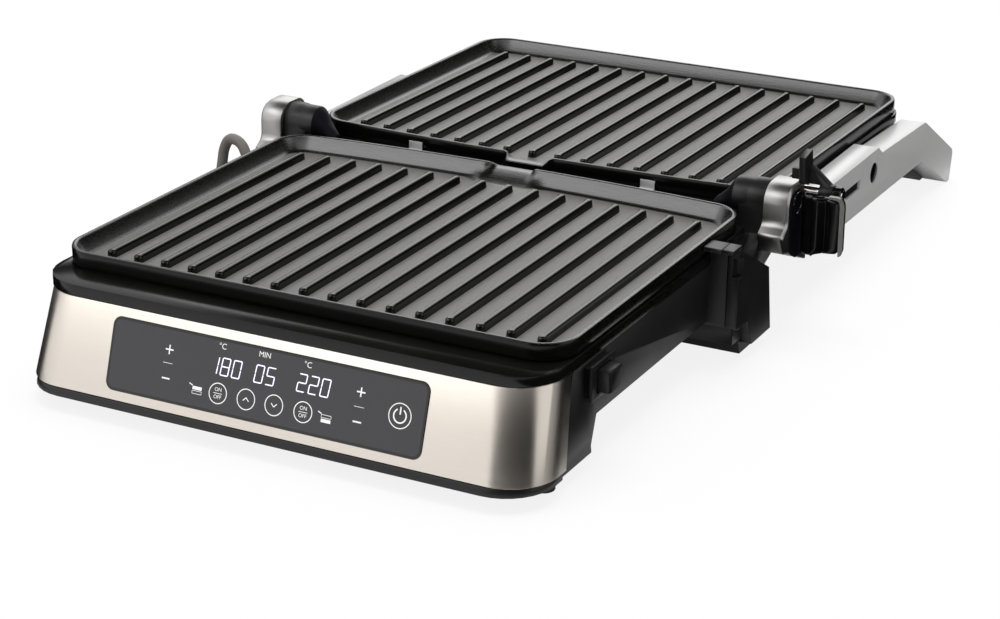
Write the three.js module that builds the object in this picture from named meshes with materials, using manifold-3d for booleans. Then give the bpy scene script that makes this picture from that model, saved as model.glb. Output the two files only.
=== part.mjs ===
// Electric contact grill, lying open flat: a heated base, a heated lid that floats
// between two cast arms, and a hinge between them that lets the arms swing over.
// Millimetres, +Z up. +X is the user's right, the control panel faces -Y, and the
// hinge axis lies along X. Places are written from the hinge axis (y) and the table (z).

import * as THREE from 'three';
import { mergeVertices } from 'three/addons/utils/BufferGeometryUtils.js';
import Module from 'manifold-3d';

const wasm = await Module();
wasm.setup();

// Clearances
const seatGap = 0.3;
const slideGap = 0.5;
const overrun = 2;
const mergeTolerance = 1e-5;

// Hinge axis
const hingeHeight = 77;

// Cooking plates, both alike
const plateWidth = 300;
const plateDepth = 230;
const plateCornerRadius = 20;
const plateHingeGap = 15;
const plateBow = 5.5;
const plateRimWidth = 2.6;
const plateRimChamfer = 0.7;
const plateWallFoot = 8.5;
const plateFloorDrop = 8.5;
const plateFloorThickness = 4;
const plateSkirtHeight = 9;
const plateSpigotInset = 3.5;
const spoutWidth = 27;
const spoutReach = 11;
const spoutDrop = 3.5;
const spoutThickness = 3.7;
const spoutFlare = 9;
const ribCount = 16;
const ribSideMargin = 21;
const ribPitch = (plateWidth - 2 * ribSideMargin) / (ribCount - 1);
const ribFootWidth = 5.4;
const ribTopWidth = 3;
const ribHeight = 4.5;
const ribFreeMargin = 15.5;
const ribHingeMargin = 19.5;

// Base: the upper deck round the plate, and the tub under it
const basePlateTop = 75;
const deckSideMargin = 0.5;
const baseHalfWidth = plateWidth / 2 + deckSideMargin;
const deckDrop = 9.5;
const deckThickness = 6;
const deckFrontReach = 21;
const deckHingeEdge = 7.5;
const deckCornerRadius = 26;
const deckRearRadius = 4;
const deckNotchWidth = 8.8;
const deckNotchInner = baseHalfWidth - deckNotchWidth;
const deckNotchDepth = 19.7;
const lidNotchDepth = 14;
const lidNotchWidth = 32.5;
const lidNotchInner = baseHalfWidth - lidNotchWidth;
const shellWall = 2.5;
const floorHeight = 26.7;
const plinthHeight = 8.5;
const plinthDepth = 31;
const plinthRear = plateHingeGap + plateDepth - plinthDepth;
const plinthLean = 7;
const plinthRearTop = plinthRear - plinthLean;
const rearWallFoot = 51;

// Brushed fascia round the front, leaning out towards its foot
const fasciaLeanDepth = 15.7;
const fasciaFoot = 13;
const fasciaFlare = 4.2;
const fasciaThickness = 1.2;
const fasciaReturn = 32;
const fasciaReturnLean = 13.6;
const fasciaCornerRadius = 27;
const trimInset = 1.6;

// Control panel, let into the fascia
const panelWidth = 188;
const panelHeight = 38.8;
const panelTopMargin = 5.2;
const panelShift = -2.5;
const panelCornerRadius = 5;
const panelThickness = 2.4;
const panelProud = 0.4;
const displayWidth = 84;
const displayHeight = 18;
const displayThickness = 5;
const boardWidth = 170;
const boardHeight = 30;
const boardThickness = 1.6;

// Rear leg, which houses the drip tray
const legSideReach = 10.5;
const legHalfWidth = baseHalfWidth + legSideReach;
const legFrontFoot = 47;
const legFrontKnee = 53.6;
const legFrontShoulder = 70;
const legShoulderHeight = 24.2;
const legShoulderRadius = 2;
const legTopFront = 68.3;
const legTopHeight = 70.4;
const legLeftHeight = 62;
const legRearTop = 25.2;
const legRearTopHeight = 46.5;
const legRearFoot = 19.8;
const ledgeReach = 9.5;
const ledgeThickness = 2.6;

// Drip tray, a drawer that slides out to the right
const trayEndSpace = 6.5;
const trayHalfLength = baseHalfWidth - trayEndSpace;
const trayFront = 64;
const trayRear = 24.5;
const trayFloorHeight = 12.6;
const trayRimHeight = 37;
const trayWall = 2;
const trayEndThickness = 6.7;
const trayEndFoot = 8.3;
const pocketFront = 71;
const pocketRear = 63;
const pocketFoot = 54;
const pocketHead = 65;
const pocketDepth = 4;

// Grease chute behind the base
const chuteEndSpace = 30.5;
const chuteHalfWidth = baseHalfWidth - chuteEndSpace;
const chuteRear = 5.5;
const chuteRearHeight = 57;
const chuteLip = 27;
const chuteLipHeight = 41;
const chuteThickness = 2;
const chuteKerb = 5;

// Hinge posts of the base and the horn that fairs each one into the base
const postClearance = 0.6;
const postWidth = 15.4;
const postInner = deckNotchInner + postClearance;
const postOuter = postInner + postWidth;
const postHeadRadius = 10.5;
const postRoundShare = 0.98;
const postShin = 13;
const postShinHeight = 60;
const postToe = 30;
const postToeHeight = 44;
const postHeel = 10;
const postHeelHeight = 36;
const hornLength = 16.3;
const hornInner = postInner - hornLength;
const hornTipRadius = 3.5;
const hornTipHeight = 69.5;
const gussetLength = 20.3;
const gussetInner = postInner - gussetLength;
const gussetRear = 5;
const gussetTopHeight = 69;
const gussetFootHeight = 50;

// Hinge pins
const hingePinRadius = 4;

// Cast knuckles that join the arms to the hinge
const knuckleWidth = 14.7;
const knuckleInner = postOuter + postClearance;
const knuckleOuter = knuckleInner + knuckleWidth;
const knuckleHeadReach = 12.9;
const knuckleHeadTop = 11.3;
const knuckleHeadRadius = 11;
const knuckleHeadRearReach = 14.9;
const knuckleShoulderRadius = 8.8;
const knuckleWaist = 13.6;
const knuckleWaistHeight = 67;
const knuckleFlare = 21.5;
const knuckleFlareHeight = 62;
const knuckleHeelFront = 15.3;
const knuckleHeelHeight = 51;
const knuckleRear = 18;
const knuckleFootHeight = 37.7;
const knuckleEdge = 1.4;
const knuckleRecessRadius = 6.6;
const knuckleRecessDepth = 3;

// Arms, which carry the lid and end in the handle
const armClearance = 1.5;
const armWidth = 16;
const armInner = baseHalfWidth + armClearance;
const armOuter = armInner + armWidth;
const armTopHeight = 65.2;
const armFootHeight = 33.5;
const armNearFoot = 46;
const armRiseEnd = 62;
const armFootHeightFar = 31;
const pivotOffset = 13;
const pivotToStep = 6.5;
const armStepLength = 7;
const pivotY = plateHingeGap + plateDepth / 2 + pivotOffset;
const armStepNear = pivotY + pivotToStep;
const armStepFar = armStepNear + armStepLength;
const armStepHeight = 60.2;
const armStepRadius = 2;
const lidEndMargin = 4;
const lidFar = plateHingeGap + plateDepth + lidEndMargin;
const armPeakInset = 10;
const armPeak = lidFar - armPeakInset;
const armPeakHeight = 56.5;
const armReach = 53;
const armTip = lidFar + armReach;
const armTipHeight = 20;
const armToeInset = 7;
const armToe = armTip - armToeInset;
const armToeFlat = 5;
const armCrookInset = 9.5;
const armCrook = lidFar - armCrookInset;
const armPeakRadius = 11;
const armTipRadius = 5;
const pivotToSlot = 24.8;
const armSlotLength = 31.7;
const armSlotNear = pivotY - pivotToSlot - armSlotLength;
const armSlotFar = armSlotNear + armSlotLength;
const armSlotHeight = 48.1;
const armSlotSize = 6;
const armSlotSlant = 9;

// Handle between the arm ends
const handleDepth = 49;
const handleNear = armTip - handleDepth;
const handleTopNear = 48;
const handleTopFar = 21;
const handleSkin = 6;
const handleTipInset = 2;
const handleEdgeRadius = 2;
const gripNearHeight = 20;
const gripKneeInset = 44;
const gripKnee = armTip - gripKneeInset;
const gripKneeHeight = 14;
const gripToeInset = 16;
const gripToe = armTip - gripToeInset;
const gripEndInset = 7.5;
const gripEnd = armTip - gripEndInset;
const gripTableGap = 0.5;

// Lid pivots and the pins that stop its tilt
const pivotHeight = 51;
const pivotPinRadius = 4;
const pivotHeadRadius = 6.3;
const pivotHeadDepth = 2.2;
const pivotBossRadius = 6.2;
const pivotBossLength = 13.8;
const lidSideMargin = 0.8;
const lidHalfWidth = plateWidth / 2 + lidSideMargin;
const pivotBossInner = lidHalfWidth - pivotBossLength;
const pivotToStop = 41;
const stopPinY = pivotY - pivotToStop;
const stopPinRadius = 1.5;
const stopPinDrop = 0.6;
const stopPinLength = 14;

// Lid
const lidPlateTop = 73.1;
const lidTilt = -0.95;
const lidShellHingeEdge = 12.5;
const lidCornerRadius = 22;
const lidFootHeight = 36;
const lidDraft = 11;
const coverThickness = 1;
const coverMargin = 2;

// Release rod, lever and height cam on the right knuckle
const rodY = 8.5;
const rodHeight = 82;
const rodRadius = 3;
const rodSink = 7;
const leverClearance = 4;
const leverWidth = 23.5;
const leverInner = knuckleOuter + leverClearance;
const leverOuter = leverInner + leverWidth;
const rodInner = knuckleOuter - rodSink;
const rodOuter = leverOuter - seatGap;
const leverFootHeight = 48.5;
const leverTopHeight = 84;
const leverFront = 6.5;
const leverRear = 2.8;
const leverStep = 2;
const leverLugRadius = 5;
const leverLugWidth = 6;
const leverTrimThickness = 2.5;
const leverTrimEdge = 1;
const camHubInset = 6.5;
const camHubWidth = 8;
const camHubInner = leverInner + camHubInset;
const camHubOuter = camHubInner + camHubWidth;
const camHubRadius = 5.2;
const camClearance = 1.2;
const camInner = knuckleOuter + camClearance;
const camFingerThickness = 3.6;
const camFingerFront = 3;
const camFingerRear = 8;
const camFingerHeight = 106.5;
const camRootFront = 2;
const camRootRear = 11.5;
const camRootHeight = 89.5;
const camStepReach = 4.2;
const camStepInner = camInner - camStepReach;
const camStepFront = 2;
const camStepRear = 2.6;
const camStepHeight = 97.5;
const camWebTop = 97;

// Plate latches and clips
const latchInset = 23;
const latchWidth = 24;
const latchFront = plateHingeGap + plateDepth - latchInset;
const latchRear = latchFront - latchWidth;
const latchFoot = 41;
const latchHead = 57;
const latchDepth = 3.2;
const latchFlange = 1.6;
const latchFlangeEdge = 1.5;
const buttonWidth = 14;
const buttonHeight = 12;
const buttonProud = 7.2;
const buttonEdge = 1;
const buttonStemReach = 3.5;
const buttonStemInner = baseHalfWidth - buttonStemReach;
const buttonStemSize = 6;
const springRadius = 5.4;
const springWire = 0.5;
const springCurls = 5;
const wallSpringCurls = 2;
const springLength = 6.2;
const tabX = 70;
const tabWidth = 20;
const tabHeight = 4.5;
const tabFoot = 51;
const tabProud = 3.4;
const tabInside = 2.2;
const springPostInset = 11.5;
const springPostY = lidFar - springPostInset;
const springPostWidth = 10;
const clipOffset = 77;
const clipWidth = 9;
const clipThickness = 0.8;
const clipHeight = 5.5;
const clipFoot = 2.6;

// Heater, reflector and thermostat under each plate
const heaterRadius = 3.6;
const heaterRuns = 4;
const heaterFirst = 38;
const heaterLast = 42;
const heaterPitch = (plateDepth - heaterFirst - heaterLast) / (heaterRuns - 1);
const reflectorInset = 16;
const heaterInset = 34;
const reflectorHalfWidth = plateWidth / 2 - reflectorInset;
const heaterHalfRun = reflectorHalfWidth - heaterInset;
const reflectorNear = 22;
const reflectorFarInset = 18;
const reflectorFar = plateDepth - reflectorFarInset;
const reflectorTop = 15;
const reflectorDepth = 6.2;
const reflectorDraft = 6;
const reflectorSheet = 0.8;
const reflectorPostRadius = 4;
const thermostatRadius = 9;
const thermostatHeight = 7.3;

// Feet
const footRadius = 6;
const footSideInset = 9.5;
const footFrontReach = 1;
const footX = baseHalfWidth - footSideInset;
const footY = plateHingeGap + plateDepth + footFrontReach;
const padEndInset = 13;
const padX = legHalfWidth - padEndInset;
const padLength = 20;
const padWidth = 14;
const padInset = 4;
const legSole = 1.2;

// Mains cord
const cordRadius = 3.3;
const cordSides = 8;
const cordStepLength = 15;
const reliefLength = 26;
const reliefRootRadius = 6.5;
const reliefRibs = 4;
const reliefRibDepth = 0.9;
const reliefY = -30;
const reliefHeight = 38;
const reliefTravel = new THREE.Vector3(-0.6, 0.22, 0.77).normalize();
const coilLoops = 4;
const coilSteps = 24;
const coilSides = 6;
const coilMidRadius = 36;
const coilPitch = 7.4;
const coilLift = 7.2;
const coilClearance = 48;
const coilX = -legHalfWidth - coilClearance;
const coilY = -80;
const plugLength = 38;
const plugWidth = 34;
const plugHeight = 16;
const plugPinRadius = 2.4;
const plugPinLength = 19;
const plugPinPitch = 19;
const plugNoseLength = 22;
const plugClearance = 15.5;
const plugX = -legHalfWidth - plugClearance;
const plugY = -150;

// Materials
function finish(color, roughness, metalness) {
  return new THREE.MeshStandardMaterial({ color, roughness, metalness });
}
const blackPlastic = finish(0x1b1b1c, 0.5, 0);
const glossPlastic = finish(0x0d0d0e, 0.2, 0);
const nonStick = finish(0x202123, 0.35, 0.2);
const brushedSteel = finish(0xcfc8bd, 0.35, 1);
const castAlloy = finish(0xb9b9b8, 0.35, 1);
const brightSteel = finish(0xd8d8d8, 0.2, 1);
const darkGlass = finish(0x15161a, 0.08, 0);
const rubber = finish(0x161616, 0.9, 0);
const cordGrey = finish(0x77726a, 0.7, 0);
const boardGreen = finish(0x1d5a35, 0.6, 0);
const sheetAlloy = finish(0xc4c6c8, 0.3, 1);

// A closed geometry as a solid that can be joined and cut
function solidOf(geometry) {
  const bare = geometry.clone();
  bare.deleteAttribute('normal');
  bare.deleteAttribute('uv');
  const merged = mergeVertices(bare, mergeTolerance);
  const vertProperties = merged.getAttribute('position').array;
  const triVerts = Uint32Array.from(merged.index.array);
  return new wasm.Manifold(new wasm.Mesh({ numProp: 3, vertProperties, triVerts }));
}

function geometryOf(solid) {
  const mesh = solid.getMesh();
  const geometry = new THREE.BufferGeometry();
  geometry.setAttribute('position', new THREE.BufferAttribute(mesh.vertProperties, 3));
  geometry.setIndex(new THREE.BufferAttribute(mesh.triVerts, 1));
  geometry.computeVertexNormals();
  return geometry;
}

function join(solids) {
  return solids.reduce((whole, solid) => whole.add(solid));
}

// A corner of an outline, rounded when a radius is given
function corner(x, y, radius = 0) {
  return { x, y, radius };
}

// The outline through the corners, each rounded corner drawn as an arc of equal steps
function filleted(corners, steps = 5) {
  const points = [];
  corners.forEach((at, index) => {
    const here = new THREE.Vector2(at.x, at.y);
    if (!at.radius) {
      points.push(here);
      return;
    }
    const before = corners[(index + corners.length - 1) % corners.length];
    const after = corners[(index + 1) % corners.length];
    const toBefore = new THREE.Vector2(before.x, before.y).sub(here).normalize();
    const toAfter = new THREE.Vector2(after.x, after.y).sub(here).normalize();
    const halfAngle = Math.acos(THREE.MathUtils.clamp(toBefore.dot(toAfter), -1, 1)) / 2;
    const middle = toBefore.clone().add(toAfter).normalize();
    const centre = here.clone().addScaledVector(middle, at.radius / Math.sin(halfAngle));
    const first = here.clone().addScaledVector(toBefore, at.radius / Math.tan(halfAngle));
    const turn = Math.PI - 2 * halfAngle;
    const side = Math.sign(toBefore.x * toAfter.y - toBefore.y * toAfter.x);
    for (let step = 0; step <= steps; step += 1) {
      points.push(first.clone().rotateAround(centre, (-side * turn * step) / steps));
    }
  });
  return points;
}

// A solid through a stack of outlines that all have the same number of points
function loft(rings) {
  const count = rings[0].length;
  const positions = rings.flat().flatMap((point) => [point.x, point.y, point.z]);
  const triangles = [];
  for (let ring = 0; ring < rings.length - 1; ring += 1) {
    for (let index = 0; index < count; index += 1) {
      const next = (index + 1) % count;
      const [a, b] = [ring * count + index, ring * count + next];
      const [c, d] = [a + count, b + count];
      triangles.push([a, b, d], [a, d, c]);
    }
  }
  const last = (rings.length - 1) * count;
  const [e1, e2] = planeOf(rings[0]);
  const flat = rings[0].map((point) => new THREE.Vector2(point.dot(e1), point.dot(e2)));
  const forward = !THREE.ShapeUtils.isClockWise(flat);
  for (const [a, b, c] of THREE.ShapeUtils.triangulateShape(flat, [])) {
    triangles.push(forward ? [a, c, b] : [a, b, c]);
    triangles.push(forward ? [last + a, last + b, last + c] : [last + a, last + c, last + b]);
  }
  const geometry = new THREE.BufferGeometry();
  geometry.setAttribute('position', new THREE.Float32BufferAttribute(positions, 3));
  const inward = signedVolume(positions, triangles) < 0;
  geometry.setIndex(triangles.flatMap(([a, b, c]) => (inward ? [a, c, b] : [a, b, c])));
  return solidOf(geometry);
}

// Two directions that span the plane of a ring
function planeOf(ring) {
  const normal = new THREE.Vector3();
  ring.forEach((point, index) => {
    normal.add(point.clone().cross(ring[(index + 1) % ring.length]));
  });
  const centre = ring.reduce((sum, point) => sum.add(point), new THREE.Vector3()).divideScalar(ring.length);
  const e1 = ring[0].clone().sub(centre).normalize();
  normal.set(0, 0, 0);
  ring.forEach((point, index) => {
    const next = ring[(index + 1) % ring.length].clone().sub(centre);
    normal.add(point.clone().sub(centre).cross(next));
  });
  normal.normalize();
  return [e1, normal.cross(e1)];
}

function signedVolume(positions, triangles) {
  const at = (index) => new THREE.Vector3().fromArray(positions, index * 3);
  return triangles.reduce((sum, [a, b, c]) => sum + at(a).dot(at(b).cross(at(c))), 0);
}

// Prisms with an outline in one plane, drawn along the third axis
function alongX(outline, from, to) {
  return loft([from, to].map((x) => outline.map((point) => new THREE.Vector3(x, point.x, point.y))));
}
function alongY(outline, from, to) {
  return loft([from, to].map((y) => outline.map((point) => new THREE.Vector3(point.x, y, point.y))));
}
function alongZ(outline, from, to) {
  return loft([from, to].map((z) => outline.map((point) => new THREE.Vector3(point.x, point.y, z))));
}

// A box from its two ends along each axis
function block([x0, x1], [y0, y1], [z0, z1]) {
  const box = new THREE.BoxGeometry(x1 - x0, y1 - y0, z1 - z0);
  box.translate((x0 + x1) / 2, (y0 + y1) / 2, (z0 + z1) / 2);
  return solidOf(box);
}

// A cylinder about a line along X through a place in Y and Z
function barAlongX(radius, from, to, y, z, sides = 20) {
  const bar = new THREE.CylinderGeometry(radius, radius, to - from, sides);
  bar.rotateZ(Math.PI / 2);
  bar.translate((from + to) / 2, y, z);
  return solidOf(bar);
}

function barAlongZ(radius, from, to, x, y, sides = 20) {
  const bar = new THREE.CylinderGeometry(radius, radius, to - from, sides);
  bar.rotateX(Math.PI / 2);
  bar.translate(x, y, (from + to) / 2);
  return solidOf(bar);
}

// An unbroken round tube through a list of points
function tubeThrough(points, radius, sides) {
  const rings = [];
  let across = new THREE.Vector3(0, 0, 1);
  points.forEach((point, index) => {
    const before = points[Math.max(index - 1, 0)];
    const after = points[Math.min(index + 1, points.length - 1)];
    const travel = after.clone().sub(before).normalize();
    across = across.clone().addScaledVector(travel, -across.dot(travel)).normalize();
    const up = travel.clone().cross(across);
    const ring = [];
    for (let side = 0; side < sides; side += 1) {
      const angle = (2 * Math.PI * side) / sides;
      const spoke = across.clone().multiplyScalar(Math.cos(angle)).addScaledVector(up, Math.sin(angle));
      ring.push(point.clone().addScaledVector(spoke, radius));
    }
    rings.push(ring);
  });
  return loft(rings);
}

function mirrored(solid) {
  return solid.mirror([1, 0, 0]);
}

// The left or right copy of a solid that is drawn on the right
function onSide(solid, side) {
  return side > 0 ? solid : mirrored(solid);
}

const sides = [['left', -1], ['right', 1]];

// Adds a named mesh to a group
function addPiece(group, name, solid, material) {
  const mesh = new THREE.Mesh(geometryOf(solid), material);
  mesh.name = name;
  group.add(mesh);
  return mesh;
}

// How far the hinge-side edge of a plate bows out at a place across it
function bowAt(x) {
  const share = x / (plateWidth / 2 - plateCornerRadius);
  return plateBow * Math.max(0, 1 - share * share);
}

// Outline of a plate in its own frame, drawn in from its edge by an inset.
// The frame's origin is on the straight hinge-side edge at the rim's top,
// and +Y points away from the hinge.
function plateOutline(inset, z) {
  const half = plateWidth / 2 - inset;
  const radius = plateCornerRadius - inset;
  const far = plateDepth - inset;
  const bowSteps = 10;
  const points = [];
  for (let step = 0; step <= bowSteps; step += 1) {
    const x = (plateWidth / 2 - plateCornerRadius) * ((2 * step) / bowSteps - 1);
    points.push(new THREE.Vector2(x, inset - bowAt(x)));
  }
  const cornerSteps = 5;
  const centres = [
    [half - radius, inset + radius, -Math.PI / 2],
    [half - radius, far - radius, 0],
    [radius - half, far - radius, Math.PI / 2],
    [radius - half, inset + radius, Math.PI],
  ];
  for (const [x, y, start] of centres) {
    for (let step = 0; step <= cornerSteps; step += 1) {
      const angle = start + (Math.PI / 2) * (step / cornerSteps);
      points.push(new THREE.Vector2(x + radius * Math.cos(angle), y + radius * Math.sin(angle)));
    }
  }
  return points
    .filter((point, index) => point.distanceTo(points[(index + 1) % points.length]) > seatGap / 10)
    .map((point) => new THREE.Vector3(point.x, point.y, z));
}

// One rib, tapered from its foot to its top, with round ends
function plateRib(x) {
  const near = ribHingeMargin - bowAt(x);
  const far = plateDepth - ribFreeMargin;
  const ring = (width, z) => {
    const radius = width / 2;
    const ends = [[far - ribFootWidth / 2, 0], [near + ribFootWidth / 2, Math.PI]];
    const endSteps = 4;
    return ends.flatMap(([y, start]) => {
      const arc = [];
      for (let step = 0; step <= endSteps; step += 1) {
        const angle = start + (Math.PI * step) / endSteps;
        arc.push(new THREE.Vector3(x + radius * Math.cos(angle), y + radius * Math.sin(angle), z));
      }
      return arc;
    });
  };
  const floor = -plateFloorDrop;
  return loft([
    ring(ribFootWidth, floor - overrun), ring(ribFootWidth, floor), ring(ribTopWidth, floor + ribHeight),
  ]);
}

// The cast cooking plate: skirt, spigot, basin with a sloped wall, ribs and spout
function cookingPlate() {
  const skirt = loft([
    plateOutline(0, -plateSkirtHeight),
    plateOutline(0, -plateRimChamfer),
    plateOutline(plateRimChamfer, 0),
  ]);
  const underside = -plateFloorDrop - plateFloorThickness;
  const spigot = loft([
    plateOutline(plateSpigotInset, underside),
    plateOutline(plateSpigotInset, -plateFloorDrop),
  ]);
  const basin = loft([
    plateOutline(plateWallFoot, -plateFloorDrop),
    plateOutline(plateRimWidth, 0),
    plateOutline(plateRimWidth, overrun),
  ]);
  const half = spoutWidth / 2;
  const brow = plateBow - plateRimWidth / 2;
  const ramp = [
    corner(-spoutReach, -spoutDrop),
    corner(-brow, -spoutDrop),
    corner(plateWallFoot, -plateFloorDrop),
  ];
  const notch = alongX([...ramp, corner(plateWallFoot, overrun), corner(-spoutReach - overrun, overrun),
    corner(-spoutReach - overrun, -spoutDrop)].map((at) => new THREE.Vector2(at.x, at.y)), -half, half);
  const tongue = alongX([...ramp, corner(plateWallFoot, underside), corner(plateSpigotInset, underside),
    corner(-brow, -spoutDrop - spoutThickness), corner(-spoutReach, -spoutDrop - spoutThickness)]
    .map((at) => new THREE.Vector2(at.x, at.y)), -half, half);
  const flare = alongZ([
    new THREE.Vector2(-half, -plateBow + plateRimWidth),
    new THREE.Vector2(half, -plateBow + plateRimWidth),
    new THREE.Vector2(half + spoutFlare, plateWallFoot),
    new THREE.Vector2(-half - spoutFlare, plateWallFoot),
  ], -plateFloorDrop, overrun);
  const ribs = [];
  for (let rib = 0; rib < ribCount; rib += 1) {
    ribs.push(plateRib((rib - (ribCount - 1) / 2) * ribPitch));
  }
  return join([skirt.add(spigot).subtract(basin).subtract(notch).subtract(flare), tongue, ...ribs]);
}

// The tubular heater, bent back and forth under the plate
function heater() {
  const z = -plateFloorDrop - plateFloorThickness - seatGap - heaterRadius;
  const bend = heaterPitch / 2;
  const bendSteps = 6;
  const points = [new THREE.Vector3(-heaterHalfRun - bend, heaterFirst, z)];
  for (let run = 0; run < heaterRuns; run += 1) {
    const way = run % 2 ? -1 : 1;
    const y = heaterFirst + run * heaterPitch;
    points.push(new THREE.Vector3(heaterHalfRun * way, y, z));
    if (run === heaterRuns - 1) {
      points.push(new THREE.Vector3((heaterHalfRun + bend) * way, y, z));
      break;
    }
    for (let step = 1; step <= bendSteps; step += 1) {
      const angle = -Math.PI / 2 + (Math.PI * step) / bendSteps;
      const x = way * (heaterHalfRun + bend * Math.cos(angle));
      points.push(new THREE.Vector3(x, y + bend + bend * Math.sin(angle), z));
    }
  }
  return tubeThrough(points, heaterRadius, 6);
}

// The bright pan that throws the heat back up at the plate
function reflector() {
  const ring = (inset, z) => filleted([
    corner(-reflectorHalfWidth + inset, reflectorNear + inset, reflectorDraft),
    corner(reflectorHalfWidth - inset, reflectorNear + inset, reflectorDraft),
    corner(reflectorHalfWidth - inset, reflectorFar - inset, reflectorDraft),
    corner(-reflectorHalfWidth + inset, reflectorFar - inset, reflectorDraft),
  ], 3).map((point) => new THREE.Vector3(point.x, point.y, z));
  const foot = -reflectorTop - reflectorDepth;
  const outside = loft([ring(reflectorDraft, foot), ring(0, -reflectorTop)]);
  const inside = loft([
    ring(reflectorDraft + reflectorSheet, foot + reflectorSheet),
    ring(reflectorSheet, -reflectorTop),
    ring(reflectorSheet, -reflectorTop + overrun),
  ]);
  return outside.subtract(inside);
}

// The thermostat, which presses on the plate between two heater runs
function thermostat() {
  const top = -plateFloorDrop - plateFloorThickness - seatGap;
  const y = heaterFirst + heaterPitch * 1.5;
  return barAlongZ(thermostatRadius, top - thermostatHeight, top, 0, y);
}

// A spring clip that holds a plate's hinge-side edge, standing on the deck
function plateClip(side) {
  const foot = -deckDrop + seatGap;
  const x = side * clipOffset;
  const across = [x - clipWidth / 2, x + clipWidth / 2];
  const front = -bowAt(x - (side * clipWidth) / 2) - seatGap;
  const upright = block(across, [front - clipThickness, front], [foot, foot + clipHeight]);
  const base = block(across, [front - clipFoot, front], [foot, foot + clipThickness]);
  return upright.add(base);
}

// Everything that is the same under both plates, in the plate's own frame.
// The base's plate lies turned round, so its left and right change places.
function heatedDeck(prefix, turned) {
  const group = new THREE.Group();
  addPiece(group, `${prefix}_plate`, cookingPlate(), nonStick);
  addPiece(group, `${prefix}_heater`, heater(), sheetAlloy);
  addPiece(group, `${prefix}_reflector`, reflector(), sheetAlloy);
  addPiece(group, `${prefix}_thermostat`, thermostat(), castAlloy);
  for (const [name, side] of sides) {
    addPiece(group, `${prefix}_clip_${name}`, plateClip(turned ? -side : side), brightSteel);
  }
  return group;
}

// A deck ring round a plate, in the plate's own frame
function deckRing(halfWidth, farReach, farRadius, notchDepth, notchInner) {
  const hingeEdge = deckHingeEdge - plateHingeGap;
  const notchEdge = notchDepth - plateHingeGap;
  const outline = filleted([
    corner(-notchInner, hingeEdge, deckRearRadius),
    corner(notchInner, hingeEdge, deckRearRadius),
    corner(notchInner, notchEdge),
    corner(halfWidth, notchEdge),
    corner(halfWidth, plateDepth + farReach, farRadius),
    corner(-halfWidth, plateDepth + farReach, farRadius),
    corner(-halfWidth, notchEdge),
    corner(-notchInner, notchEdge),
  ], 6);
  const ring = alongZ(outline, -deckDrop - deckThickness, -deckDrop);
  const opening = loft([
    plateOutline(plateSpigotInset - slideGap, -deckDrop - deckThickness - overrun),
    plateOutline(plateSpigotInset - slideGap, -deckDrop + overrun),
  ]);
  return ring.subtract(opening);
}

// Places that the base's pieces share
const deckFoot = basePlateTop - deckDrop - deckThickness;
const frontEdge = plateHingeGap + plateDepth + deckFrontReach;
const fasciaHeight = deckFoot - fasciaFoot;
const leanPerHeight = fasciaLeanDepth / fasciaHeight;
const fasciaSlant = Math.hypot(fasciaHeight, fasciaLeanDepth);
const trayEndFace = legHalfWidth + seatGap + trayEndThickness;

// Outline round the front of the base at a height, drawn in by an inset.
// It is open at the back: its side runs end at the given places.
function frontOutline(z, inset, sideEnd, pull = 0) {
  const drop = deckFoot - z;
  const half = baseHalfWidth - seatGap * 2 + (fasciaFlare * drop) / fasciaHeight - inset - pull;
  const front = -(frontEdge + drop * leanPerHeight) + inset;
  const radius = fasciaCornerRadius - inset;
  return filleted([
    corner(-half, sideEnd),
    corner(-half, front, radius),
    corner(half, front, radius),
    corner(half, sideEnd),
  ], 8).map((point) => new THREE.Vector3(point.x, point.y, z));
}

// A sheet that follows the front of the base between two heights
function frontSheet(top, foot, thickness, returnAt, pull = 0) {
  const heights = [foot, top];
  const outside = loft(heights.map((z) => frontOutline(z, 0, returnAt(z), pull)));
  const inside = loft([foot - overrun, top + overrun]
    .map((z) => frontOutline(z, thickness, returnAt(z) + overrun, pull)));
  return outside.subtract(inside);
}

// Where the fascia's side runs end, leaning like its front
function fasciaReturnAt(z) {
  return -(frontEdge - fasciaReturn) - (fasciaReturnLean * (deckFoot - z)) / fasciaHeight;
}

// Places a solid drawn on the panel's plane: +X across, +Y up the slope, +Z out of it
function panelFrame() {
  const group = new THREE.Group();
  group.position.set(panelShift, -frontEdge, deckFoot);
  group.rotation.x = Math.atan2(fasciaHeight, fasciaLeanDepth);
  group.updateMatrix();
  return group;
}

function panelOutline(inset) {
  const half = panelWidth / 2 - inset;
  const top = -panelTopMargin - inset;
  const foot = -panelTopMargin - panelHeight + inset;
  const radius = panelCornerRadius - inset;
  return filleted([
    corner(-half, foot, radius),
    corner(half, foot, radius),
    corner(half, top, radius),
    corner(-half, top, radius),
  ]);
}

function panelWindow(margin, depth) {
  const window = alongZ(panelOutline(-margin), -depth, overrun);
  return window.transform(panelFrame().matrix.elements);
}

function steelFascia() {
  const sheet = frontSheet(deckFoot - seatGap, fasciaFoot, fasciaThickness, fasciaReturnAt);
  return sheet.subtract(panelWindow(seatGap, fasciaThickness + overrun));
}

function fasciaTrim() {
  return frontSheet(fasciaFoot - seatGap, plinthHeight, fasciaThickness, fasciaReturnAt, trimInset);
}

// Side view of the rear leg, from its foot up to its sloping top
function legOutline(sole, head) {
  return [
    corner(-legFrontFoot, sole),
    corner(-legFrontKnee, legShoulderHeight),
    corner(-legFrontShoulder, legShoulderHeight, legShoulderRadius),
    corner(-legTopFront, head),
    corner(-legRearTop, legRearTopHeight),
    corner(-legRearFoot, sole),
  ];
}

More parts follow.
